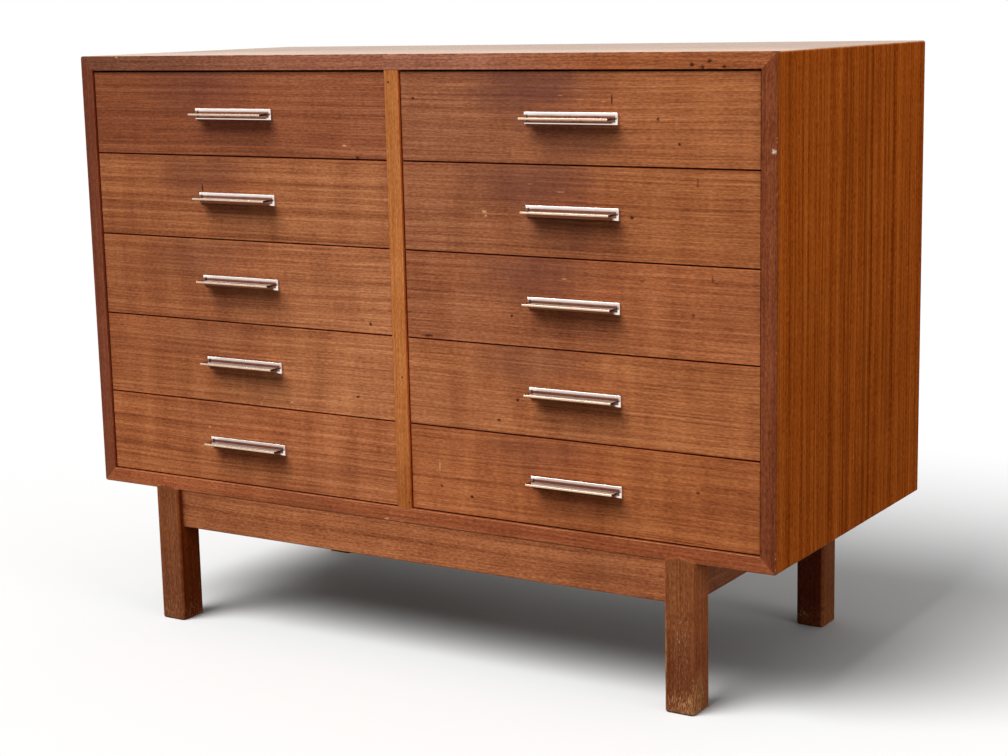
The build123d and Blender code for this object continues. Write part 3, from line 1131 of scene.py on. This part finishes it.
@dataclass
class CaseLooks:
    """Case: panels, lippings, back, runners and their fixings."""

    nodes: dict[str, bpy.types.Object]
    screw_finish: bpy.types.Material
    nail_finish: bpy.types.Material
    outer: float = 0.5
    back_edge: float = 0.22915
    back_near: float = 0.001
    lipping_front: float = -0.21085
    top_seam: float = -0.010
    nail_radius: float = 0.0012
    nail_rise: float = 0.0003
    divider_nails: tuple[tuple[float, float], ...] = ((-0.004, 0.720), (0.003, 0.363), (0.0075, 0.206))
    side_veins: tuple[Vein, ...] = (
        Vein(-0.178, 0.0040, 0.35),
        Vein(-0.124, 0.0030, 0.25),
        Vein(-0.078, 0.0040, 0.30),
        Vein(-0.022, 0.0040, 0.45),
        Vein(-0.010, 0.0060, 0.60),
        Vein(0.016, 0.0030, 0.30),
        Vein(0.042, 0.0080, 0.60),
        Vein(0.056, 0.0040, 0.35),
        Vein(0.110, 0.0060, 0.40),
        Vein(0.165, 0.0040, 0.30),
    )
    side_specks: tuple[tuple[float, float], ...] = (
        (-0.155, 0.660), (-0.105, 0.482), (0.118, 0.460), (0.050, 0.300)
    )
    speck_reach: Point = (MARK_DEPTH, 0.0014, 0.0020)
    edge_nicks: tuple[float, ...] = (0.662, 0.657, 0.601, 0.43, 0.204, 0.198, 0.186)
    nick_reach: Point = (0.0014, 0.0012, 0.0028)
    top_dents: tuple[tuple[float, float], ...] = (
        (0.399, 0.739), (0.412, 0.736), (0.420, 0.743), (0.438, 0.737)
    )
    dent_half: tuple[float, float] = (0.0026, 0.0022)
    chip: Mark = Mark((0.496, FRONT_FACE, 0.647), (0.0034, MARK_DEPTH, 0.0034), tint(226, 206, 190))

    def finishes(self) -> dict[str, bpy.types.Material]:
        """Builds the finishes of the case.

        Returns:
            The materials by name.
        """
        specks = tuple(
            Mark((side * self.outer, y, z), self.speck_reach, BARE_WOOD, 0.6)
            for side in (-1, 1) for y, z in self.side_specks
        )
        nicks = tuple(
            Mark((self.outer, self.lipping_front, z), self.nick_reach, BARE_WOOD, 0.7)
            for z in self.edge_nicks
        )
        dents = tuple(dent(x, z, *self.dent_half) for x, z in self.top_dents)
        made = {
            "side": WoodFinish(
                "side_veneer", Grain.UPRIGHT,
                tint(124, 51, 11), tint(184, 88, 25), tint(210, 114, 42),
                seed=1.3, bands_per_metre=58.0, band_share=0.30, streak_share=0.24, speckle_share=0.27,
                spread=0.11, wander=0.004, smoke=0.1, ripple=0.04, shine=0.0,
                veins=self.side_veins, marks=specks,
                fade=Fade(0.20, 0.72, (0.95, 0.95, 1.0), (1.10, 1.08, 1.05)),
            ),
            "top": TopFinish(
                "top_veneer", Grain.ACROSS_THE_FRONT,
                tint(102, 66, 32), tint(142, 97, 52), tint(172, 124, 74),
                seed=2.2, roughness=0.34, shine=0.40, lacquer=0.18, spread=0.10,
            ),
            "inner": WoodFinish(
                "inner_veneer", Grain.UPRIGHT,
                tint(104, 64, 40), tint(142, 96, 62), tint(170, 124, 86),
                seed=4.7, roughness=0.55, arris_wear_and_shade=0.1,
            ),
            "core": WoodFinish(
                "board_core", Grain.ACROSS_THE_FRONT,
                tint(140, 104, 68), tint(172, 134, 92), tint(196, 160, 116),
                seed=5.3, bands_per_metre=240.0, roughness=0.7, arris_wear_and_shade=0.1,
            ),
            "dark_level": WoodFinish(
                "dark_level_lipping", Grain.ACROSS_THE_FRONT,
                tint(100, 54, 39), tint(141, 84, 60), tint(168, 108, 80),
                seed=6.1, spread=0.13, arris_wear_and_shade=0.95, arris_wear_and_shade_colour=tint(74, 38, 26),
                marks=(fleck(-0.436, 0.751, 0.003, 0.0015),),
                fade=Fade(-0.48, -0.06, (0.66, 0.66, 0.66), (1.30, 1.36, 1.44)),
            ),
            "level": WoodFinish(
                "level_lipping", Grain.ACROSS_THE_FRONT,
                tint(114, 61, 37), tint(158, 92, 59), tint(188, 120, 81),
                seed=6.9, spread=0.13, arris_wear_and_shade=0.95, arris_wear_and_shade_colour=tint(70, 32, 17), marks=dents,
                fade=Fade(0.08, 0.32, (1.10, 1.28, 1.75), (1.03, 0.96, 0.80)),
            ),
            "low_level": WoodFinish(
                "bottom_lipping", Grain.ACROSS_THE_FRONT,
                tint(104, 50, 28), tint(148, 78, 46), tint(178, 109, 69),
                seed=6.5, spread=0.17, smoke=0.4, arris_wear_and_shade=0.5,
                marks=(fleck(-0.027, 0.181, 0.004, 0.002), fleck(-0.004, 0.180, 0.005, 0.0015)),
                fade=Fade(-0.05, 0.15, (1.20, 1.27, 1.30), (0.97, 0.95, 0.95)),
            ),
            "left_upright": WoodFinish(
                "left_lipping", Grain.UPRIGHT,
                tint(84, 42, 28), tint(120, 62, 40), tint(146, 85, 58),
                # The inner face, which lies in shade, is painted lighter and redder.
                seed=7.4, spread=0.17, arris_wear_and_shade=0.3, painted_edge_light=(1.5, 1.0, 0.8),
            ),
            "right_upright": WoodFinish(
                "right_lipping", Grain.UPRIGHT,
                tint(91, 42, 24), tint(126, 65, 38), tint(153, 88, 56),
                seed=8.8, spread=0.15, shine=0.0, arris_wear_and_shade=0.1, marks=(self.chip, *nicks),
            ),
            "divider": WoodFinish(
                "divider_lipping", Grain.UPRIGHT,
                tint(148, 83, 40), tint(184, 110, 56), tint(205, 135, 78),
                # The side faces, in shade beside the drawers, are painted lighter and redder.
                seed=9.5, arris_wear_and_shade=0.4, smoke=0.12, painted_edge_light=(1.4, 0.9, 0.6),
                fade=Fade(0.19, 0.32, (0.72, 0.62, 0.52), UNCHANGED),
            ),
            "back": WoodFinish(
                "back_plywood", Grain.UPRIGHT,
                tint(128, 92, 58), tint(158, 118, 78), tint(182, 144, 102),
                seed=10.2, bands_per_metre=26.0, band_share=0.5, wander=0.05, roughness=0.65, arris_wear_and_shade=0.1,
            ),
            "beech": INNER_BEECH,
        }
        return {key: finish.material() for key, finish in made.items()}

    def panel_rule(self, outward: Vector) -> Rule:
        """Rule for a panel: veneer outside, plainer veneer inside, bare core at the back edge.

        Args:
            outward: Direction of the panel's outer face.

        Returns:
            The rule, which gives the kind of a face.
        """

        def kind(face: bpy.types.MeshPolygon) -> PanelFace:
            """Kind of a face.

            Args:
                face: Face of the panel.

            Returns:
                Where on the panel it lies.
            """
            if face.normal.y > FACING and face.center.y > self.back_edge - self.back_near:
                return PanelFace.BACK_EDGE
            return PanelFace.OUTSIDE if face.normal.dot(outward) > LEANING else PanelFace.INSIDE

        return kind

    def top_lipping_rule(self, face: bpy.types.MeshPolygon) -> TopLippingFace:
        """Kind of a face of the top lipping.

        Args:
            face: Face of the lipping.

        Returns:
            Its upper side, or the length that it belongs to.
        """
        if face.normal.z > FACING:
            return TopLippingFace.UPPER
        return TopLippingFace(int(face.center.x > self.top_seam))

    def lipping_rule(self, column: Column) -> Rule:
        """Rule for an upright lipping: 1 on its outer side, which the side veneer covers, and 0 elsewhere."""
        return lambda face: int(face.normal.x * column.value > FACING)

    def dress(self) -> None:
        """Gives every solid of the case its finish."""
        made = self.finishes()
        outward = {
            "top_panel": Vector((0, 0, 1)),
            "bottom_panel": Vector((0, 0, -1)),
            "left_side_panel": Vector((-1, 0, 0)),
            "right_side_panel": Vector((1, 0, 0)),
        }
        for name, direction in outward.items():
            face = made["side"] if "side" in name else made["top"]
            dress(self.nodes[name], [face, made["inner"], made["core"]], self.panel_rule(direction))
        dress(self.nodes["centre_divider"], [made["inner"]])
        lengths = [made["dark_level"], made["level"], made["top"]]
        dress(self.nodes["top_lipping"], lengths, self.top_lipping_rule)
        dress(self.nodes["bottom_lipping"], [made["low_level"]])
        for column in Column:
            lipping = [made[f"{column.word}_upright"], made["side"]]
            dress(self.nodes[f"{column.word}_lipping"], lipping, self.lipping_rule(column))
        dress(self.nodes["divider_lipping"], [made["divider"]])
        dress(self.nodes["back_panel"], [made["back"]])
        inner = (
            "left_runners", "divider_left_runners", "divider_right_runners", "right_runners",
            "mitre_splines", "rail_dowels", "corner_blocks",
        )
        for name in inner:
            dress(self.nodes[name], [made["beech"]])
        for name in ("back_panel_screws", "runner_screws", "corner_block_screws"):
            dress(self.nodes[name], [self.screw_finish])

    def build(self, tree: NailTree) -> bpy.types.Object:
        """Nail heads in the divider's lipping.

        Args:
            tree: Tree that makes the heads.

        Returns:
            The piece, riding on the case.
        """
        points = [(x, self.lipping_front, z) for x, z in self.divider_nails]
        forward = (math.pi / 2, 0.0, 0.0)
        heads = tree.heads(
            "lipping_nails", points, self.nail_radius, self.nail_rise, forward, self.nail_finish
        )
        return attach(heads, "case")


@dataclass(frozen=True)
class LegTone:
    """Tone of one leg: how scuffed it is, the painted light on its side faces and the change of tone along
    it.
    """

    scuffed: float
    sides: Colour
    fade: Fade


# Side faces carry painted light: lit on the front right leg, shaded on the front left one. The back right
# leg's fade is painted shade, darker and redder all along under the case, with its side faces painted lighter
# again.
LEG_TONES: dict[str, LegTone] = {
    "front_left": LegTone(0.3, (0.85, 0.45, 0.20), Fade(0.06, 0.12, (0.96, 0.99, 1.10), (1.14, 1.16, 1.16))),
    "front_right": LegTone(0.3, (1.70, 1.60, 1.45), Fade(0.06, 0.13, (0.84, 0.76, 0.76), (1.14, 1.13, 1.05))),
    "back_left": LegTone(0.25, (1.00, 0.85, 0.75), Fade(0.06, 0.12, (0.94, 0.90, 0.90), UNCHANGED)),
    "back_right": LegTone(0.25, (1.22, 1.70, 1.30), Fade(0.02, 0.15, (0.86, 0.56, 0.56), (0.80, 0.50, 0.50))),
}


@dataclass
class LegFrameLooks:
    """Leg frame: four legs and four rails."""

    nodes: dict[str, bpy.types.Object]
    first_seed: float = 11.4
    foot_scuffs: tuple[Mark, ...] = (
        Mark((0.398, -0.215, 0.010), (0.020, 0.016, 0.024), tint(208, 154, 100), 0.6, 0.44),
        Mark((0.401, -0.205, 0.024), (0.006, 0.018, 0.032), tint(210, 156, 96), 0.7, 0.46),
        Mark((0.378, -0.219, 0.010), (0.018, 0.004, 0.018), tint(204, 150, 104), 0.5, 0.36),
        Mark((0.366, -0.217, 0.080), (0.003, 0.006, 0.060), tint(196, 146, 90), 0.5, 0.50),
        Mark((0.388, -0.219, 0.085), (0.012, 0.004, 0.050), tint(200, 160, 120), 0.6, 0.22),
    )
    back_scratches: tuple[Mark, ...] = (
        Mark((0.373, 0.155, 0.016), (0.012, 0.004, 0.005), tint(216, 186, 156), 0.7, 0.26),
    )

    def dress(self) -> None:
        """Gives the legs and rails their finishes."""
        dark, middle, pale = tint(80, 40, 22), tint(120, 67, 39), tint(152, 95, 60)
        marks = {"front_right": self.foot_scuffs, "back_right": self.back_scratches}
        for number, (corner, tone) in enumerate(LEG_TONES.items()):
            leg = LegFinish(
                f"{corner}_leg_teak", Grain.UPRIGHT, dark, middle, pale,
                seed=self.first_seed + number, arris_wear_and_shade=0.2, arris_wear_and_shade_colour=tint(176, 112, 66), roughness=0.5,
                shine=0.02, spread=0.16, scuffed=tone.scuffed, marks=marks.get(corner, ()), fade=tone.fade,
                painted_edge_light=tone.sides,
            )
            dress(self.nodes[f"{corner}_leg"], [leg.material()])
        level = WoodFinish(
            "rail_teak", Grain.ACROSS_THE_FRONT,
            tint(110, 59, 34), tint(159, 92, 56), tint(192, 124, 80),
            seed=12.6, smoke=0.35, spread=0.14,
        )
        deep = WoodFinish(
            "side_rail_teak", Grain.FRONT_TO_BACK,
            tint(92, 44, 22), tint(136, 72, 38), tint(164, 100, 60), seed=13.2,
        )
        for finish, names in ((level, ("front_rail", "back_rail")), (deep, ("left_rail", "right_rail"))):
            material = finish.material()
            for name in names:
                dress(self.nodes[name], [material])


FRONT_TONES: dict[str, tuple[Colour, Colour]] = {
    "left_1": ((0.71, 0.62, 0.65), (0.88, 0.83, 0.92)),
    "left_2": ((0.96, 0.94, 0.90), (1.12, 1.18, 1.20)),
    "left_3": ((0.92, 0.88, 0.86), (1.30, 1.42, 1.50)),
    "left_4": ((1.06, 1.02, 0.96), (1.30, 1.42, 1.46)),
    "left_5": ((1.06, 1.00, 0.90), (1.18, 1.16, 1.14)),
    "right_1": ((0.94, 0.98, 1.16), (1.16, 1.16, 1.06)),
    "right_2": ((0.96, 1.00, 1.12), (1.02, 0.98, 0.86)),
    "right_3": ((0.96, 0.96, 1.04), (1.12, 1.08, 1.02)),
    "right_4": ((1.12, 1.14, 1.12), (1.10, 1.08, 0.96)),
    "right_5": ((1.10, 1.02, 0.92), (1.00, 0.90, 0.74)),
}

FRONT_MARKS: dict[str, tuple[Mark, ...]] = {
    "left_1": (fleck(-0.074, 0.643, 0.004, 0.0018, 0.9), dent(-0.055, 0.629, 0.003, 0.002)),
    "left_2": (dent(-0.303, 0.584, 0.0012, 0.006), fleck(-0.095, 0.597, 0.002, 0.001)),
    "left_3": (dent(-0.044, 0.425, 0.0018, 0.0018),),
    "left_4": (
        fleck(-0.172, 0.316, 0.0025, 0.0018, 0.8),
        fleck(-0.222, 0.310, 0.002, 0.0015),
        dent(-0.067, 0.332, 0.0022, 0.002),
    ),
    "left_5": (fleck(-0.311, 0.271, 0.003, 0.0014),),
    "right_1": (
        fleck(0.231, 0.705, 0.004, 0.0009, 0.4),
        fleck(0.257, 0.701, 0.008, 0.0009, 0.4),
        fleck(0.287, 0.699, 0.005, 0.0009, 0.4),
        dent(0.298, 0.702, 0.0011, 0.006),
        dent(0.029, 0.701, 0.0018, 0.0018),
        dent(0.356, 0.680, 0.0018, 0.0018),
        dent(0.382, 0.653, 0.0018, 0.0018),
    ),
    "right_2": (
        fleck(0.126, 0.570, 0.005, 0.0025, 0.8),
        fleck(0.128, 0.565, 0.002, 0.0018, 0.8),
        fleck(0.189, 0.604, 0.006, 0.0009, 0.35),
        fleck(0.229, 0.596, 0.007, 0.0009, 0.45),
        dent(0.404, 0.611, 0.0016, 0.005, 0.5),
        dent(0.322, 0.570, 0.0022, 0.002),
    ),
    "right_3": (
        fleck(0.233, 0.496, 0.005, 0.0012, 0.6),
        dent(0.334, 0.499, 0.003, 0.0015, 0.6),
        dent(0.422, 0.505, 0.0014, 0.004, 0.6),
        dent(0.161, 0.449, 0.0020, 0.0020),
        dent(0.398, 0.464, 0.0022, 0.0016, 0.7),
        dent(0.041, 0.417, 0.008, 0.0016),
    ),
    "right_4": (
        dent(0.140, 0.322, 0.0026, 0.0022),
        dent(0.167, 0.348, 0.0020, 0.0020),
        dent(0.345, 0.414, 0.004, 0.0018),
    ),
    "right_5": (
        fleck(0.053, 0.256, 0.0012, 0.009, 0.6),
        dent(0.099, 0.223, 0.0022, 0.0020),
        dent(0.055, 0.232, 0.0022, 0.0018, 0.7),
        dent(0.403, 0.262, 0.0022, 0.0018, 0.7),
    ),
}


@dataclass
class DrawerLooks:
    """One drawer: front, box, pull and the pins in its box."""

    nodes: dict[str, bpy.types.Object]
    column: Column
    row: int
    pull_finishes: tuple[bpy.types.Material, ...]
    box_finishes: tuple[bpy.types.Material, ...]
    pin_finish: bpy.types.Material
    bay_centre: float = 0.2455
    case_ceiling: float = 0.734
    row_pitch: float = 0.10688
    front_height: float = 0.10528
    side_inner: float = 0.2195
    bottom_level: float = 0.017
    bottom_top: float = 0.021
    back_middle: float = 0.17915
    tray_floor: float = -0.20885
    plate_front: float = -0.21085
    pin_radius: float = 0.0016
    pin_rise: float = 0.0004
    pins_across: int = 7
    fade_reach: float = 0.20
    left_column_darkening: float = 0.58
    first_seed: float = 20.0
    seed_down: float = 3.7
    seed_across: float = 0.9
    least_ripple: float = 0.06
    ripple_down: float = 0.025
    most_stain_and_shadow: float = 0.66
    most_shadowing: float = 0.70
    darkening_down: float = 0.08
    board_near: float = 0.0002
    tray_near: float = 0.0003
    blade_near: float = 0.0005

    @property
    def name(self) -> str:
        """Column and row as the nodes' names end."""
        return f"{self.column.word}_{self.row}"

    @property
    def centre(self) -> float:
        """Middle of the drawer in X."""
        return self.column.value * self.bay_centre

    @property
    def floor(self) -> float:
        """Lower edge of the front."""
        return self.case_ceiling - self.row * self.row_pitch

    def front_finish(self) -> DrawerFrontFinish:
        """Veneer of this front.

        Returns:
            The finish.
        """
        left, right = self.centre - self.fade_reach, self.centre + self.fade_reach
        # The left column's fronts get weaker staining and painted shadow.
        column_darkening = self.left_column_darkening if self.column is Column.LEFT else 1.0
        return DrawerFrontFinish(
            f"front_veneer_{self.name}",
            Grain.ACROSS_THE_FRONT,
            TEAK_DARK,
            TEAK_MIDDLE,
            TEAK_PALE,
            seed=self.first_seed + self.seed_down * self.row + self.seed_across * self.column.value,
            band_share=0.24,
            streak_share=0.30,
            speckle_share=0.28,
            spread=0.14,
            ripple=self.least_ripple + self.ripple_down * self.row,
            # Painted shade and light in the gaps between the fronts: the dark arrises widen the gaps' shade
            # line, and the edges' reddish tone stands in for warm light reflected into the gaps.
            arris_wear_and_shade=0.6,
            arris_wear_and_shade_colour=tint(92, 40, 22),
            marks=FRONT_MARKS[self.name],
            pull_x=self.centre,
            pull_z=self.floor + self.front_height / 2,
            fade=Fade(left, right, *FRONT_TONES[self.name]),
            painted_edge_light=(1.05, 0.7, 0.6),
            stain_and_shadow=column_darkening * (self.most_stain_and_shadow - self.darkening_down * self.row),
            shadowing=self.most_shadowing - self.darkening_down * self.row,
        )

    def box_rule(self, face: bpy.types.MeshPolygon) -> BoxFace:
        """Kind of a face of the box.

        Args:
            face: Face of the box.

        Returns:
            The board that it belongs to.
        """
        if abs(face.center.x - self.centre) > self.side_inner - self.board_near:
            return BoxFace.SIDE
        low = face.center.z < self.floor + self.bottom_top + self.board_near
        return BoxFace.BOTTOM if low else BoxFace.BACK

    def pull_rule(self, face: bpy.types.MeshPolygon) -> PullFace:
        """Kind of a face of the pull.

        Args:
            face: Face of the pull.

        Returns:
            The part of the tray or blade that it belongs to; the blade's ends and the plate's top get painted
            shade.
        """
        upward = face.normal.z > TILTED
        if face.center.y < self.plate_front - self.blade_near:
            if abs(face.normal.x) > TILTED:
                return PullFace.DULL
            return PullFace.BLADE_TOP if upward else PullFace.BLADE_EDGE
        if upward:
            return PullFace.DULL
        on_floor = abs(face.center.y - self.tray_floor) < self.tray_near
        return PullFace.TRAY_FLOOR if face.normal.y < -FACING and on_floor else PullFace.PLATE

    def dress(self) -> None:
        """Gives the drawer's solids their finishes."""
        dress(self.nodes[f"drawer_front_{self.name}"], [self.front_finish().material()])
        dress(self.nodes[f"drawer_box_{self.name}"], self.box_finishes, self.box_rule)
        dress(self.nodes[f"drawer_pull_{self.name}"], self.pull_finishes, self.pull_rule)

    def build(self, tree: NailTree) -> bpy.types.Object:
        """Pins that hold the bottom to the back, from below.

        Args:
            tree: Tree that makes the heads.

        Returns:
            The piece, riding on the drawer.
        """
        step = 2 * self.side_inner / self.pins_across
        places = [self.centre - self.side_inner + step * (index + 0.5) for index in range(self.pins_across)]
        points = [(x, self.back_middle, self.floor + self.bottom_level) for x in places]
        down = (math.pi, 0.0, 0.0)
        name = f"drawer_pins_{self.name}"
        pins = tree.heads(name, points, self.pin_radius, self.pin_rise, down, self.pin_finish)
        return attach(pins, f"drawer_{self.name}")


@dataclass(frozen=True)
class Lamp:
    """Far soft lamp: its strength, the angle that it fills and the way to it."""

    name: str
    strength: float
    softness: float
    way: Point

    def build(self) -> None:
        """Hangs the lamp."""
        light = bpy.data.lights.new(self.name, "SUN")
        light.energy = self.strength
        light.angle = math.radians(self.softness)
        lamp = bpy.data.objects.new(self.name, light)
        lamp.rotation_mode = "QUATERNION"
        lamp.rotation_quaternion = Vector(self.way).to_track_quat("Z", "Y")
        bpy.context.scene.collection.objects.link(lamp)


@dataclass
class Studio:
    """Floor, light and camera."""

    camera_place: Point = (1.3717, -2.1470, 0.8042)
    camera_turn: tuple[float, float, float, float] = (0.7417, 0.6114, 0.1841, 0.2056)
    lens_mm: float = 70.41
    sensor_mm: float = 36.0
    far_clip: float = 200.0
    floor_half: float = 30.0
    floor_shade: float = 0.70
    bounce_shade: float = 0.05
    low_sky: float = 0.06
    high_sky: float = 0.60
    lamps: tuple[Lamp, ...] = (
        Lamp("key", 4.0, 42.0, (-0.45, -0.85, 1.25)),
        Lamp("fill", 1.2, 30.0, (0.95, -0.20, 0.08)),
    )

    @staticmethod
    def seen(tree: bpy.types.NodeTree) -> Socket:
        """Rays that show the surround: straight to the camera, off metal or through a clear piece.

        Args:
            tree: Tree of the floor's material or of the world.

        Returns:
            1 for such a ray, 0 for the others.
        """
        path = tree.nodes.new("ShaderNodeLightPath")
        result = path.outputs["Is Camera Ray"]
        for kind in ("Is Glossy Ray", "Is Transmission Ray"):
            either = tree.nodes.new("ShaderNodeMath")
            either.operation = "MAXIMUM"
            tree.links.new(result, either.inputs[0])
            tree.links.new(path.outputs[kind], either.inputs[1])
            result = either.outputs[0]
        return result

    def floor(self) -> None:
        """Pale floor that keeps the shadow."""
        graph = ShaderGraph("pale_floor")
        seen = self.seen(graph.tree)
        shader = graph.add("ShaderNodeBsdfDiffuse")
        colour = graph.mix(seen, (self.bounce_shade,) * 3, (self.floor_shade,) * 3)
        graph.feed(shader.inputs["Color"], colour)
        output = graph.add("ShaderNodeOutputMaterial")
        graph.tree.links.new(shader.outputs[0], output.inputs["Surface"])
        half = self.floor_half
        mesh = bpy.data.meshes.new("floor")
        corners = [(-half, -half, 0), (half, -half, 0), (half, half, 0), (-half, half, 0)]
        mesh.from_pydata(corners, [], [(0, 1, 2, 3)])
        mesh.materials.append(graph.material)
        floor = bpy.data.objects.new("floor", mesh)
        bpy.context.scene.collection.objects.link(floor)

    def world(self) -> None:
        """White surround for the camera and reflections, and a sky that lights the chest from overhead."""
        world = bpy.data.worlds.new("studio")
        world.use_nodes = True
        tree = world.node_tree
        tree.nodes.clear()
        way = tree.nodes.new("ShaderNodeTexCoord")
        height = tree.nodes.new("ShaderNodeSeparateXYZ")
        tree.links.new(way.outputs["Generated"], height.inputs[0])
        sky = tree.nodes.new("ShaderNodeMapRange")
        sky.inputs["To Min"].default_value = self.low_sky
        sky.inputs["To Max"].default_value = self.high_sky
        tree.links.new(height.outputs["Z"], sky.inputs["Value"])
        strength = tree.nodes.new("ShaderNodeMapRange")
        strength.inputs["To Max"].default_value = 1.0
        tree.links.new(self.seen(tree), strength.inputs["Value"])
        tree.links.new(sky.outputs[0], strength.inputs["To Min"])
        background = tree.nodes.new("ShaderNodeBackground")
        background.inputs["Color"].default_value = (1.0, 1.0, 1.0, 1.0)
        tree.links.new(strength.outputs[0], background.inputs["Strength"])
        output = tree.nodes.new("ShaderNodeOutputWorld")
        tree.links.new(background.outputs[0], output.inputs["Surface"])
        bpy.context.scene.world = world

    def camera(self) -> None:
        """Camera at the angle from which the chest was seen."""
        data = bpy.data.cameras.new("camera")
        data.sensor_fit = "HORIZONTAL"
        data.sensor_width = self.sensor_mm
        data.lens = self.lens_mm
        data.clip_end = self.far_clip
        camera = bpy.data.objects.new("camera", data)
        camera.location = self.camera_place
        camera.rotation_mode = "QUATERNION"
        camera.rotation_quaternion = Quaternion(self.camera_turn)
        bpy.context.scene.collection.objects.link(camera)
        bpy.context.scene.camera = camera

    def build(self) -> None:
        """Sets up the whole studio."""
        bpy.context.scene.view_settings.view_transform = "Standard"
        self.floor()
        self.world()
        for lamp in self.lamps:
            lamp.build()
        self.camera()


def main() -> None:
    """Dresses the chest and sets up the studio."""
    logging.basicConfig(level=logging.INFO)
    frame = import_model()
    nodes = frame["nodes"]
    pull_finishes = tuple(PULL_FINISHES[kind].material() for kind in PullFace)
    steel = SCREW_STEEL.material()
    nail = NAIL_STEEL.material()
    tree = NailTree("nail_heads")
    case = CaseLooks(nodes, steel, nail)
    case.dress()
    LOG.info("built %s", case.build(tree).name)
    LegFrameLooks(nodes).dress()
    box_finishes = tuple(BOX_FINISHES[kind].material() for kind in BoxFace)
    for column in Column:
        for row in range(1, ROWS + 1):
            drawer = DrawerLooks(nodes, column, row, pull_finishes, box_finishes, steel)
            drawer.dress()
            LOG.info("built %s", drawer.build(tree).name)
    Studio().build()


if __name__ == "__main__":
    main()
